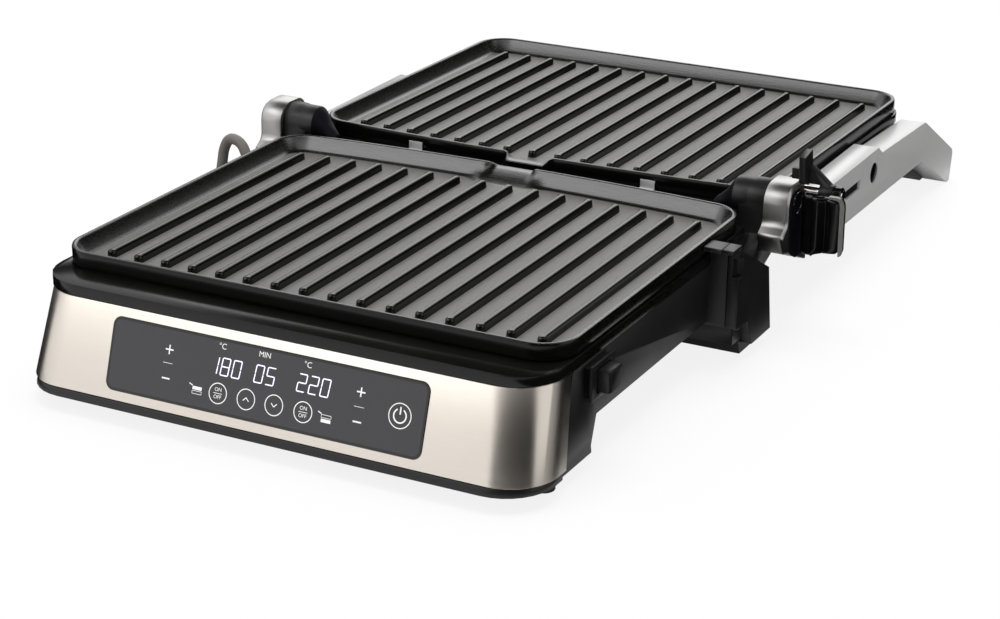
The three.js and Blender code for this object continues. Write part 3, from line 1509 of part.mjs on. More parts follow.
const lowerDeck = heatedDeck('lower', true);
const lowerRing = deckRing(baseHalfWidth, deckFrontReach, deckCornerRadius, deckNotchDepth, deckNotchInner);
addPiece(lowerDeck, 'base_deck', lowerRing, blackPlastic);
lowerDeck.rotation.z = Math.PI;
lowerDeck.position.set(0, -plateHingeGap, basePlateTop);
base.add(lowerDeck);

const panel = panelFrame();
base.add(panel);
addPiece(panel, 'control_glass', alongZ(panelOutline(0), panelProud - panelThickness, panelProud), darkGlass);
const displayMiddle = -panelTopMargin - panelHeight / 2;
addPiece(panel, 'display_module', block([-displayWidth / 2, displayWidth / 2],
  [displayMiddle - displayHeight / 2, displayMiddle + displayHeight / 2],
  [panelProud - panelThickness - seatGap - displayThickness, panelProud - panelThickness - seatGap],
), glossPlastic);
addPiece(panel, 'control_board', block([-boardWidth / 2, boardWidth / 2],
  [displayMiddle - boardHeight / 2, displayMiddle + boardHeight / 2],
  [panelProud - panelThickness - 2 * seatGap - displayThickness - boardThickness,
    panelProud - panelThickness - 2 * seatGap - displayThickness]), boardGreen);

for (const [name, side] of sides) {
  addPiece(base, `hinge_pin_${name}`, onSide(hingePin(), side), brightSteel);
  addPiece(base, `front_foot_${name}`,
    barAlongZ(footRadius, 0, plinthHeight - seatGap, side * footX, -footY), rubber);
  addPiece(base, `rear_pad_${name}`, onSide(block([padX - padLength / 2, padX + padLength / 2],
    [-legFrontFoot + padInset, -legFrontFoot + padInset + padWidth], [0, legSole - seatGap]), side), rubber);
}

// Cord
const coil = coilPoints();
console.log(`least gap between the coil's turns: ${leastGap(coil, cordRadius).toFixed(2)} mm`);
addPiece(cord, 'strain_relief', strainRelief(), rubber);
addPiece(cord, 'mains_cord', cordLead(coil), cordGrey);
addPiece(cord, 'cord_coil', tubeThrough(coil, cordRadius, coilSides), cordGrey);
addPiece(cord, 'plug_lead', plugLead(coil), cordGrey);
addPiece(cord, 'mains_plug', mainsPlug(), rubber);

// Arms and handle
for (const [name, side] of sides) {
  addPiece(upper, `knuckle_${name}`, knuckle(side), castAlloy);
  addPiece(upper, `knuckle_cap_${name}`, onSide(knuckleCap(), side), glossPlastic);
  addPiece(upper, `arm_${name}`, onSide(arm(), side), castAlloy);
  addPiece(upper, `pivot_pin_${name}`, onSide(pivotPin(), side), brightSteel);
}
addPiece(upper, 'handle_bar', handleBar(), castAlloy);
addPiece(upper, 'handle_grip', handleGrip(), blackPlastic);
addPiece(upper, 'release_rod', releaseRod(), brightSteel);
addPiece(upper, 'release_lever', releaseLever(), glossPlastic);
addPiece(upper, 'lever_trim', leverTrim(), brightSteel);
addPiece(upper, 'height_cam', heightCam(), blackPlastic);

// Lid, drawn level and then tilted about its pivots as it lies
const lidPivot = new THREE.Group();
lidPivot.position.set(0, pivotY, pivotHeight);
lidPivot.rotation.x = THREE.MathUtils.degToRad(lidTilt);
const lid = new THREE.Group();
lid.position.set(0, -pivotY, -pivotHeight);
lidPivot.add(lid);
upper.add(lidPivot);
addPiece(lid, 'lid_shell', lidShell(), blackPlastic);
addPiece(lid, 'lid_cover', lidCover(), brushedSteel);
addPiece(lid, 'upper_release_button', upperButton(), glossPlastic);
addPiece(lid, 'upper_latch_spring', upperSpring(), brightSteel);
for (const [name, side] of sides) {
  addPiece(lid, `stop_pin_${name}`, onSide(stopPin(), side), brightSteel);
}

const upperDeck = heatedDeck('upper', false);
const lidReach = lidFar - plateHingeGap - plateDepth;
const upperRing = deckRing(lidHalfWidth, lidReach, lidCornerRadius, lidNotchDepth, lidNotchInner);
addPiece(upperDeck, 'lid_deck', upperRing, blackPlastic);
upperDeck.position.set(0, plateHingeGap, lidPlateTop);
lid.add(upperDeck);

// The origin goes on the table, under the middle of everything but the cord
const extent = new THREE.Box3().expandByObject(base, true).expandByObject(upper, true);
const middle = extent.getCenter(new THREE.Vector3());
whole.position.set(-middle.x, -middle.y, 0);

export default whole;
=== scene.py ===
"""Electric contact grill lying open flat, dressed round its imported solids.

Metres, +Z up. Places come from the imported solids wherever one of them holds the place.
Widths called x are measured from the plates' middle, and lengths called y from the hinge axis.
"""

import math

import bmesh
import bpy
from mathutils import Matrix, Vector


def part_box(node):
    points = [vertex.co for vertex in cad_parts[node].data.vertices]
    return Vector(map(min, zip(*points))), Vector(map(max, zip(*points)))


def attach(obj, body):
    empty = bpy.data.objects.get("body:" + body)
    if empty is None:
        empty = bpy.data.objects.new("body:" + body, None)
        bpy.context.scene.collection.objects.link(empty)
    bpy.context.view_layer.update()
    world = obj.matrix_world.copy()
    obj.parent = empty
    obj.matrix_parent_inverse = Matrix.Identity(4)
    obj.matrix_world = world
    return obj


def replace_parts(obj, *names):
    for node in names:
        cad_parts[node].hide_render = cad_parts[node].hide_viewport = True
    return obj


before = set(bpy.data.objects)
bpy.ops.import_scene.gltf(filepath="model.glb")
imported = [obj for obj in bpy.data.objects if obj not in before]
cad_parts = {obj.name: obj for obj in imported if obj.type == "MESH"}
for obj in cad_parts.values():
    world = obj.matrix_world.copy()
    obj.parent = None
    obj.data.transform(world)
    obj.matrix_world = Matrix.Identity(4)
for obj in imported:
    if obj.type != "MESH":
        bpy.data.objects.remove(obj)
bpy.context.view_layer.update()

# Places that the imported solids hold
plate_low, plate_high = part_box("lower_plate")
hinge_pin_low, hinge_pin_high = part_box("hinge_pin_left")
pivot_low, pivot_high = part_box("pivot_pin_left")
deck_low, deck_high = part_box("base_deck")
MIDDLE_X = (plate_low.x + plate_high.x) / 2
HINGE_Y = (hinge_pin_low.y + hinge_pin_high.y) / 2
ORIGIN = Vector((MIDDLE_X, HINGE_Y, 0))
PIVOT = Vector((MIDDLE_X, (pivot_low.y + pivot_high.y) / 2, (pivot_low.z + pivot_high.z) / 2))
HINGE_HEIGHT = (hinge_pin_low.z + hinge_pin_high.z) / 2

# Camera, from the photograph's vanishing points and a fit to the object's corners
CAMERA_LENS = 87.1
CAMERA_SENSOR = 36.0
CAMERA_PLACE = Vector((0.62184, -1.19714, 0.52253))
CAMERA_AZIMUTH = math.radians(27.96)
CAMERA_ELEVATION = math.radians(21.89)

# Cooking plates
PLATE_HALF = (plate_high.x - plate_low.x) / 2
PLATE_DEPTH = 0.230
PLATE_CORNER = 0.020
PLATE_HINGE_GAP = 0.015
PLATE_BOW = 0.0055
PLATE_TOP = plate_high.z
LID_PLATE_TOP = 0.0731
LID_TILT = math.radians(-0.95)
SPOUT_HALF = 0.0135
SPOUT_FLARE = 0.008
SPOUT_BLEND = 0.0016
SPOUT_BLEND_GROWTH = 3
# The station of a plate's section after which the spout flares, and how many from below are black skirt
FLARE_STATION = 8
SKIRT_STATIONS = 6
RIB_COUNT = 16
RIB_PITCH = 0.0172
RIB_FOOT = 0.0054
RIB_HEIGHT = 0.0041
RIB_NECK = 0.0024
# Rib section: share of its height, of its width between the heads, of its width at the heads
RIB_SECTION_SHARES = (
    (-0.02, 1.08, 1.06), (0.0, 1.04, 1.02), (0.05, 0.97, 0.99), (0.16, 0.92, 0.97), (0.55, 0.74, 0.91),
    (0.80, 0.57, 0.83), (0.92, 0.44, 0.68), (0.98, 0.28, 0.44), (1.0, 0.09, 0.12),
)
RIB_FREE_MARGIN = 0.0178
RIB_HINGE_MARGIN = 0.0195
FLOOR_DROP = 0.0085
BOW_STEPS = 66
CORNER_STEPS = 14
RIB_HEAD_STEPS = 10
# How evenly the points lie along a plate's hinge side; the rest of the share draws them to its middle
EVEN_SHARE = 0.35

# A plate's section away from the spout and in its middle: distance in from the edge, height
RIM_SECTION = (
    (0.0035, -0.0125), (0.0035, -0.0092), (0.0004, -0.0092), (0.0, -0.0088), (0.0, -0.0011),
    (0.0003, -0.0003), (0.0009, 0.0), (0.0019, 0.0), (0.0025, -0.0003), (0.0029, -0.0011),
    (0.0072, -0.0071), (0.0082, -0.0081), (0.0098, -0.0085),
)
SPOUT_SECTION = (
    (0.0035, -0.0125), (0.0032, -0.0095), (-0.0015, -0.0082), (-0.0053, -0.0072), (-0.0055, -0.0069),
    (-0.0055, -0.0039), (-0.0053, -0.0036), (-0.0046, -0.0035), (-0.0020, -0.0035), (0.0013, -0.0036),
    (0.0095, -0.0068), (0.0130, -0.0082), (0.0150, -0.0085),
)

# Brushed fascia
FASCIA_FOOT = 0.013
FASCIA_LEAN = 0.0157
FASCIA_FLARE = 0.0042
FASCIA_THICKNESS = 0.0012
FASCIA_EDGE = 0.0003
FASCIA_RETURN = 0.032
FASCIA_RETURN_LEAN = 0.0136
FASCIA_CORNER = 0.027
FASCIA_CORNER_STEPS = 24
FASCIA_SIDE_INSET = 0.0006
DECK_FOOT = deck_low.z
FRONT_EDGE = HINGE_Y - deck_low.y
FASCIA_HEIGHT = DECK_FOOT - FASCIA_FOOT
FASCIA_SLANT = math.hypot(FASCIA_HEIGHT, FASCIA_LEAN)
BASE_HALF = (deck_high.x - deck_low.x) / 2
SEAT_GAP = 0.0003

# Control panel
PANEL_SHIFT = -0.0025
PANEL_WIDTH = 0.188
PANEL_HEIGHT = 0.0388
PANEL_TOP_MARGIN = 0.0052
PANEL_CORNER = 0.005
PANEL_CORNER_STEPS = 10
PANEL_PROUD = 0.0004
PANEL_BORDER = 0.0016
PANEL_DEPTH = 0.002
MARK_LIFT = 0.00006
DIGIT_WIDTH = 0.0046
DIGIT_HEIGHT = 0.0088
DIGIT_STROKE = 0.0006
DIGIT_PITCH = 0.0068
DIGIT_SLANT_SHARE = 0.10
MARK_STROKE = 0.0005
BOLD_STROKE = MARK_STROKE * 1.5
BUTTON_RADIUS = 0.0052
MARK_STEPS = 40

# Cord
CORD_RADIUS = 0.0033
COIL_LOOPS = 4
COIL_STEPS = 24
COIL_MID_RADIUS = 0.036
COIL_PITCH = 0.0074
COIL_LIFT = 0.0072
COIL_CLIMB_TURNS = 0.5
COIL_X = -0.209
COIL_Y = -0.080

# How far soft normals run over a mesh's edges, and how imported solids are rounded
SMOOTH_ANGLE = math.radians(38)
PLATE_SMOOTH_ANGLE = math.radians(60)
BEVEL_ANGLE = math.radians(35)
BEVEL_SEGMENTS = 2
WELD_REACH = 0.00002

# Index of refraction of the coating on the ribs, on the rims and on the grained floors
COATING_IOR = 1.5
MARKED_IOR = 2.0
GRAINED_IOR = 1.8
# Darker and lighter tone of the coating on the ribs and the rims
COATING_TONES = ((0.0030, 0.0032, 0.0026), (0.0056, 0.0058, 0.0048))

# Depths of the bumps in the surfaces
GRAIN_DEPTH = 0.0001
RIPPLE_DEPTH = 0.0002
MARK_DEPTH = 0.00013
CAST_DEPTH = 0.00008
BRUSH_DEPTH = 0.00006

# How unevenly the panel shines, and how dim its marks get, as a share of their strength
PANEL_SPREAD = 0.03
DIM_SHARE = 0.94


def add_range(nodes, links, source, low, high):
    """The source's 0 to 1 spread over low to high."""
    spread = nodes.new("ShaderNodeMapRange")
    spread.inputs["To Min"].default_value = low
    spread.inputs["To Max"].default_value = high
    links.new(source, spread.inputs["Value"])
    return spread.outputs["Result"]


class Finish:
    """A node material with a principled shader, and the noise that varies it."""

    def __init__(self, name, color, roughness, metallic=0.0):
        self.material = bpy.data.materials.new(name)
        self.material.use_nodes = True
        self.material.diffuse_color = (*color, 1)
        self.nodes = self.material.node_tree.nodes
        self.links = self.material.node_tree.links
        self.shader = self.nodes["Principled BSDF"]
        self.level("Base Color", (*color, 1))
        self.level("Roughness", roughness)
        self.level("Metallic", metallic)

    def level(self, socket, value):
        """A shader value that is the same all over."""
        self.shader.inputs[socket].default_value = value

    def noise(self, scale, detail=2.0, stretch=(1, 1, 1)):
        """A noise texture in object space, stretched along the axes."""
        place = self.nodes.new("ShaderNodeTexCoord")
        mapping = self.nodes.new("ShaderNodeMapping")
        mapping.inputs["Scale"].default_value = stretch
        noise = self.nodes.new("ShaderNodeTexNoise")
        noise.inputs["Scale"].default_value = scale
        noise.inputs["Detail"].default_value = detail
        self.links.new(place.outputs["Object"], mapping.inputs["Vector"])
        self.links.new(mapping.outputs["Vector"], noise.inputs["Vector"])
        return noise.outputs["Fac"]

    def vary(self, socket, source, low, high):
        """A shader value that runs from low to high with the source."""
        self.links.new(add_range(self.nodes, self.links, source, low, high), self.shader.inputs[socket])

    def tint(self, source, dark, light):
        """Colour that varies between two tones with the source."""
        ramp = self.nodes.new("ShaderNodeMixRGB")
        ramp.inputs["Color1"].default_value = (*dark, 1)
        ramp.inputs["Color2"].default_value = (*light, 1)
        self.links.new(source, ramp.inputs["Fac"])
        self.links.new(ramp.outputs["Color"], self.shader.inputs["Base Color"])

    def bump(self, source, strength, depth):
        """Fine relief that follows the source."""
        bump = self.nodes.new("ShaderNodeBump")
        bump.inputs["Strength"].default_value = strength
        bump.inputs["Distance"].default_value = depth
        self.links.new(source, bump.inputs["Height"])
        self.links.new(bump.outputs["Normal"], self.shader.inputs["Normal"])


def moulded_black():
    """Fine-grained black plastic of the housings, the tray, the buttons, the grip and the cam."""
    finish = Finish("moulded_black", (0.010, 0.010, 0.010), 0.38)
    cloud = finish.noise(25)
    finish.vary("Roughness", cloud, 0.32, 0.44)
    finish.tint(cloud, (0.0085, 0.0088, 0.0085), (0.0125, 0.0128, 0.0122))
    finish.bump(finish.noise(1400, 3), 0.22, GRAIN_DEPTH)
    finish.level("Specular IOR Level", 0.46)
    return finish.material


def deck_black():
    """Smooth black of the decks and the plates' skirts."""
    finish = Finish("deck_black", (0.004, 0.004, 0.004), 0.2)
    cloud = finish.noise(30)
    finish.vary("Roughness", cloud, 0.16, 0.24)
    finish.tint(cloud, (0.0030, 0.0032, 0.0028), (0.0055, 0.0057, 0.0050))
    finish.bump(finish.noise(1100), 0.06, GRAIN_DEPTH)
    finish.level("Specular IOR Level", 0.33)
    return finish.material


def gloss_black():
    """Polished black plastic of the lever, the pivot pins and the display."""
    finish = Finish("gloss_black", (0.003, 0.003, 0.003), 0.16)
    finish.vary("Roughness", finish.noise(60), 0.12, 0.22)
    finish.bump(finish.noise(300), 0.05, RIPPLE_DEPTH)
    return finish.material


def non_stick():
    """Smooth black non-stick coating of the ribs."""
    finish = Finish("non_stick", (0.004, 0.004, 0.0035), 0.24)
    cloud = finish.noise(18, 3)
    finish.vary("Roughness", cloud, 0.15, 0.21)
    finish.tint(cloud, *COATING_TONES)
    finish.bump(finish.noise(900), 0.12, GRAIN_DEPTH)
    finish.level("IOR", COATING_IOR)
    return finish.material


def marked_coating():
    """The coating on the rims, with the level marks of their machining under it."""
    finish = Finish("marked_coating", (0.004, 0.004, 0.0035), 0.26)
    marks = finish.noise(1, 4, (70, 1500, 1500))
    finish.vary("Roughness", marks, 0.22, 0.34)
    finish.tint(finish.noise(18, 3), *COATING_TONES)
    finish.bump(marks, 0.45, MARK_DEPTH)
    finish.level("IOR", MARKED_IOR)
    return finish.material


def grained_coating_painted_sheen():
    """The same coating on the plates' floors, grained by the mould, in a lighter grey: partly its own dark
    grey, partly painted sheen.
    """
    # Base colour far lighter than the ribs' black: partly the coating's own dark grey, partly painted sheen
    finish = Finish("grained_coating_painted_sheen", (0.105, 0.102, 0.095), 0.5)
    peel = finish.noise(1700, 4)
    finish.vary("Roughness", peel, 0.42, 0.58)
    finish.tint(finish.noise(14, 3), (0.094, 0.092, 0.085), (0.118, 0.115, 0.107))
    finish.bump(peel, 0.75, RIPPLE_DEPTH)
    finish.level("IOR", GRAINED_IOR)
    return finish.material


def brushed_steel(name, dark, light):
    """Stainless sheet, brushed level, so that it mirrors sharper sideways than upwards."""
    finish = Finish(name, light, 0.30, 1.0)
    strokes = finish.noise(1, 3, (14, 14, 5200))
    finish.vary("Roughness", strokes, 0.25, 0.36)
    finish.tint(strokes, dark, light)
    finish.bump(finish.noise(1, 2, (40, 40, 14000)), 0.12, BRUSH_DEPTH)
    tangent = finish.nodes.new("ShaderNodeTangent")
    tangent.direction_type = "RADIAL"
    tangent.axis = "Z"
    finish.links.new(tangent.outputs["Tangent"], finish.shader.inputs["Tangent"])
    finish.level("Anisotropic", 0.75)
    finish.level("Anisotropic Rotation", 0.25)
    return finish.material


def satin_alloy():
    """Satin finish of the die-cast knuckles, their caps and the thermostats, and the painted highlight on
    the front of the lever's band.
    """
    finish = Finish("satin_alloy", (0.50, 0.49, 0.48), 0.38, 1.0)
    cloud = finish.noise(45, 3)
    finish.vary("Roughness", cloud, 0.34, 0.42)
    finish.tint(cloud, (0.45, 0.44, 0.43), (0.56, 0.55, 0.54))
    finish.bump(finish.noise(1800), 0.12, CAST_DEPTH)
    return finish.material


def silver_paint():
    """Satin silver finish of the arms, the handle and the clips."""
    finish = Finish("silver_paint", (0.64, 0.637, 0.635), 0.4, 0.3)
    flake = finish.noise(2600)
    finish.vary("Roughness", flake, 0.34, 0.46)
    finish.tint(finish.noise(30, 3), (0.61, 0.608, 0.606), (0.67, 0.667, 0.664))
    finish.bump(flake, 0.08, BRUSH_DEPTH)
    return finish.material


def painted_shade_and_reflection_black():
    """Dull black that paints shade and dark reflection: on the knuckles' outer faces (painted dark
    reflection), in the arms' slots and on the collars' necks (painted shade).
    """
    finish = Finish("painted_shade_and_reflection_black", (0.006, 0.006, 0.009), 0.5)
    finish.vary("Roughness", finish.noise(90), 0.42, 0.56)
    finish.bump(finish.noise(1200), 0.15, GRAIN_DEPTH)
    finish.level("Specular IOR Level", 0.12)
    return finish.material


def bright_steel():
    """Hinge and stop pins, springs, the cross rod and the rings on the knuckles."""
    finish = Finish("bright_steel", (0.75, 0.73, 0.70), 0.18, 1.0)
    finish.vary("Roughness", finish.noise(120), 0.14, 0.26)
    return finish.material


def sheet_alloy():
    """Heaters and reflectors, dulled by heat."""
    finish = Finish("sheet_alloy", (0.50, 0.49, 0.47), 0.42, 1.0)
    cloud = finish.noise(30, 4)
    finish.tint(cloud, (0.42, 0.40, 0.37), (0.56, 0.55, 0.54))
    finish.vary("Roughness", cloud, 0.35, 0.5)
    return finish.material


def panel_face(name, color, roughness):
    """Glossy touch film over a dark field."""
    finish = Finish(name, color, roughness)
    finish.vary("Roughness", finish.noise(40), roughness - PANEL_SPREAD, roughness + PANEL_SPREAD)
    finish.level("Coat Weight", 0.3)
    finish.level("Coat Roughness", 0.08)
    return finish.material


def lit_mark(name, color, strength):
    """Marks that glow through the panel."""
    finish = Finish(name, color, 0.4)
    finish.level("Emission Color", (*color, 1))
    finish.vary("Emission Strength", finish.noise(300), strength * DIM_SHARE, strength)
    return finish.material


def soft_rubber(name, dark, light, roughness):
    """Matte rubber of the feet, the strain relief, the plug and the cord's jacket."""
    finish = Finish(name, light, roughness)
    finish.tint(finish.noise(70, 3), dark, light)
    finish.bump(finish.noise(1600), 0.2, GRAIN_DEPTH)
    return finish.material


def circuit_board():
    """Green board of the controls."""
    finish = Finish("circuit_board", (0.02, 0.10, 0.04), 0.5)
    finish.tint(finish.noise(200), (0.015, 0.08, 0.03), (0.03, 0.13, 0.05))
    return finish.material


BLACK = moulded_black()
DECK = deck_black()
GLOSS = gloss_black()
COATING = non_stick()
# The floors' coating, whose lighter grey is partly painted sheen
GRAINED_PAINTED_SHEEN = grained_coating_painted_sheen()
MARKED = marked_coating()
SILVER = silver_paint()
# Dull black for painted shade and painted dark reflection
PAINTED_DARK_BLACK = painted_shade_and_reflection_black()
STEEL = brushed_steel("brushed_steel", (0.69, 0.635, 0.57), (0.78, 0.72, 0.65))
# The lid's cover: the fascia's brushed steel in a darker tone, painted shade for the cover that lies face
# down under the open lid
PAINTED_SHADE_COVER = brushed_steel("brushed_cover_painted_shade", (0.42, 0.40, 0.37), (0.50, 0.475, 0.44))
ALLOY = satin_alloy()
BRIGHT = bright_steel()
SHEET = sheet_alloy()
PANEL_FIELD = panel_face("panel_field", (0.040, 0.040, 0.044), 0.22)
PANEL_RIM = panel_face("panel_rim", (0.004, 0.004, 0.005), 0.14)
PRINT = lit_mark("panel_print", (0.78, 0.76, 0.76), 0.55)
DIGITS = lit_mark("panel_digits", (0.80, 0.78, 1.0), 0.9)
RUBBER = soft_rubber("black_rubber", (0.010, 0.010, 0.010), (0.018, 0.018, 0.018), 0.7)
JACKET = soft_rubber("cord_jacket", (0.17, 0.155, 0.14), (0.23, 0.21, 0.19), 0.55)
BOARD = circuit_board()


def add_object(name, data):
    """Links a new object to the scene."""
    thing = bpy.data.objects.new(name, data)
    bpy.context.scene.collection.objects.link(thing)
    return thing


def mesh_piece(name, work, materials, body, place=Matrix.Translation(ORIGIN)):
    """A smooth mesh of a mesher's points and faces, set at its place, that rides on a body."""
    mesh = bpy.data.meshes.new(name)
    mesh.from_pydata([tuple(place @ point) for point in work.points], [], [face[0] for face in work.faces])
    for polygon, face in zip(mesh.polygons, work.faces):
        polygon.material_index = face[1]
    for material in materials:
        mesh.materials.append(material)
    fixed = bmesh.new()
    fixed.from_mesh(mesh)
    bmesh.ops.recalc_face_normals(fixed, faces=fixed.faces)
    fixed.to_mesh(mesh)
    fixed.free()
    mesh.shade_smooth()
    mesh.set_sharp_from_angle(angle=SMOOTH_ANGLE)
    piece = add_object(name, mesh)
    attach(piece, body)
    return piece


class Mesher:
    """Gathers a piece's points, and its faces with their material's place in the piece's list."""

    def __init__(self):
        self.points = []
        self.faces = []

    def loft(self, rings, caps=(True, True), material=0):
        """Quads between the rings, which all have the same number of points."""
        start = len(self.points)
        count = len(rings[0])
        for ring in rings:
            self.points.extend(ring)
        for row in range(len(rings) - 1):
            for column in range(count):
                a = start + row * count + column
                b = start + row * count + (column + 1) % count
                self.faces.append(((a, b, b + count, a + count), material))
        last = start + (len(rings) - 1) * count
        if caps[0]:
            self.faces.append((tuple(range(start, start + count)), material))
        if caps[1]:
            self.faces.append((tuple(range(last, last + count)), material))

    def flat(self, points, material=0):
        """One flat face round the points."""
        start = len(self.points)
        self.points.extend(points)
        self.faces.append((tuple(range(start, start + len(points))), material))


def polish(node, material, bevel):
    """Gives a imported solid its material, and rounds its edges."""
    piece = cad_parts[node]
    piece.data.materials.clear()
    piece.data.materials.append(material)
    for polygon in piece.data.polygons:
        polygon.material_index = 0
        polygon.use_smooth = True
    weld = piece.modifiers.new("weld", "WELD")
    weld.merge_threshold = WELD_REACH
    if bevel:
        rounding = piece.modifiers.new("rounding", "BEVEL")
        rounding.width = bevel
        rounding.segments = BEVEL_SEGMENTS
        rounding.limit_method = "ANGLE"
        rounding.angle_limit = BEVEL_ANGLE
        rounding.harden_normals = True
        rounding.use_clamp_overlap = True


def arc_points(x, y, radius, start, turn, steps):
    """Places along an arc with both its ends; the angles are degrees from x towards y."""
    angles = [math.radians(start + turn * step / steps) for step in range(steps + 1)]
    return [(x + radius * math.cos(angle), y + radius * math.sin(angle)) for angle in angles]


def circle_points(x, y, radius, steps):
    return arc_points(x, y, radius, 0, 360, steps)[:-1]


def level_arc(x, y, z, radius, start, turn, steps):
    return [Vector((*place, z)) for place in arc_points(x, y, radius, start, turn, steps)]


def smoothstep(low, high, value):
    share = min(max((value - low) / (high - low), 0), 1)
    return share * share * (3 - 2 * share)


def bow_at(x):
    """How far the hinge-side edge of a plate bows out at a place across it."""
    share = x / (PLATE_HALF - PLATE_CORNER)
    return PLATE_BOW * max(0, 1 - share * share)


def plate_outline(inset):
    """Points round a plate, drawn in from its edge, with the x that sets the spout's share."""
    straight = PLATE_HALF - PLATE_CORNER
    points = []
    for step in range(BOW_STEPS + 1):
        share = 2 * step / BOW_STEPS - 1
        x = straight * share * (EVEN_SHARE + (1 - EVEN_SHARE) * share * share)
        points.append((x, inset - bow_at(x), abs(x)))
    half = PLATE_HALF - inset
    far = PLATE_DEPTH - inset
    radius = PLATE_CORNER - inset
    centres = (
        (half - radius, inset + radius, -90),
        (half - radius, far - radius, 0),
        (radius - half, far - radius, 90),
        (radius - half, inset + radius, 180),
    )
    for centre_x, centre_y, start in centres:
        corner = arc_points(centre_x, centre_y, radius, start, 90, CORNER_STEPS)
        first = 1 if start == -90 else 0
        last = CORNER_STEPS if start == 180 else CORNER_STEPS + 1
        points.extend((x, y, PLATE_HALF) for x, y in corner[first:last])
    return points


def plate_ring(station):
    """One ring of a plate's surface, blended from the rim's section to the spout's."""
    rim_inset, rim_height = RIM_SECTION[station]
    spout_inset, spout_height = SPOUT_SECTION[station]
    inner_share = max(0, station - FLARE_STATION) / (len(RIM_SECTION) - 1 - FLARE_STATION)
    half = SPOUT_HALF + SPOUT_FLARE * inner_share
    spread = SPOUT_BLEND * (1 + SPOUT_BLEND_GROWTH * inner_share)
    rim_points = plate_outline(rim_inset)
    spout_points = plate_outline(max(spout_inset, 0))
    ring = []
    for rim, spout in zip(rim_points, spout_points):
        share = 1 - smoothstep(half - spread, half + spread, rim[2])
        spout_y = spout[1] + min(spout_inset, 0)
        x = rim[0] + (spout[0] - rim[0]) * share
        y = rim[1] + (spout_y - rim[1]) * share
        z = rim_height + (spout_height - rim_height) * share
        ring.append(Vector((x, y, z)))
    return ring


def rib_rings(x):
    """A rib as rings that narrow upwards to a rounded top, with a rounder head at each end."""
    near = RIB_HINGE_MARGIN - bow_at(x) + RIB_FOOT / 2
    far = PLATE_DEPTH - RIB_FREE_MARGIN - RIB_FOOT / 2
    rings = []
    for height, width, head_width in RIB_SECTION_SHARES:
        side = RIB_FOOT / 2 * width
        head = RIB_FOOT / 2 * head_width
        z = RIB_HEIGHT * height - FLOOR_DROP
        ring = []
        for centre, start, way in ((far, 0, 1), (near, 180, -1)):
            ring.append(Vector((x + side * way, centre - way * RIB_NECK, z)))
            ring.extend(level_arc(x, centre, z, head, start, 180, RIB_HEAD_STEPS))
            ring.append(Vector((x - side * way, centre - way * RIB_NECK, z)))
        rings.append(ring)
    return rings


def cooking_plate(name, place, body):
    """A cast plate with its rim, spout and ribs, set at its place."""
    work = Mesher()
    rings = [plate_ring(station) for station in range(len(RIM_SECTION))]
    work.loft(rings[:SKIRT_STATIONS], caps=(True, False), material=2)
    work.loft(rings[SKIRT_STATIONS - 1:], caps=(False, False), material=3)
    # The floor, whose lighter grey is partly painted sheen
    work.flat(rings[-1], 1)
    for rib in range(RIB_COUNT):
        work.loft(rib_rings((rib - (RIB_COUNT - 1) / 2) * RIB_PITCH), caps=(False, True))
    plate = mesh_piece(name, work, [COATING, GRAINED_PAINTED_SHEEN, DECK, MARKED], body, place)
    plate.data.set_sharp_from_angle(angle=PLATE_SMOOTH_ANGLE)
    return plate


def fascia_half(z, inset):
    """Half of the fascia's width at a height, which flares towards its foot."""
    drop = DECK_FOOT - z
    return BASE_HALF - FASCIA_SIDE_INSET + FASCIA_FLARE * drop / FASCIA_HEIGHT - inset


def front_line(z, inset):
    """The fascia's line at a height, from its left return round the front to its right one."""
    drop = DECK_FOOT - z
    half = fascia_half(z, inset)
    front = -(FRONT_EDGE + drop * FASCIA_LEAN / FASCIA_HEIGHT) + inset
    radius = FASCIA_CORNER - inset
    side_end = -(FRONT_EDGE - FASCIA_RETURN) - FASCIA_RETURN_LEAN * drop / FASCIA_HEIGHT
    line = [Vector((-half, side_end, z)), Vector((-half, (side_end + front + radius) / 2, z))]
    for centre_x, start in ((radius - half, 180), (half - radius, 270)):
        line.extend(level_arc(centre_x, front + radius, z, radius, start, 90, FASCIA_CORNER_STEPS))
    line.extend([Vector((half, (side_end + front + radius) / 2, z)), Vector((half, side_end, z))])
    return line


def steel_fascia():
    """The brushed band round the front, with eased edges."""
    top = DECK_FOOT - SEAT_GAP
    foot = FASCIA_FOOT
    section = (
        (foot + FASCIA_EDGE, 0), (top - FASCIA_EDGE, 0), (top, FASCIA_EDGE),
        (top, FASCIA_THICKNESS), (foot, FASCIA_THICKNESS), (foot, FASCIA_EDGE),
    )
    work = Mesher()
    work.loft(list(zip(*(front_line(z, inset) for z, inset in section))))
    band = mesh_piece("brushed_fascia", work, [STEEL], "base")
    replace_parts(band, "steel_fascia")


def panel_matrix():
    """From panel places, x across and y down the slope and z out of it, to the row frame."""
    down = Vector((0, -FASCIA_LEAN, -FASCIA_HEIGHT)) / FASCIA_SLANT
    out = Vector((0, -FASCIA_HEIGHT, FASCIA_LEAN)) / FASCIA_SLANT
    across = Vector((1, 0, 0))
    place = Matrix((across, down, out)).transposed().to_4x4()
    place.translation = ORIGIN + Vector((0, -FRONT_EDGE, DECK_FOOT))
    return place


PANEL = panel_matrix()


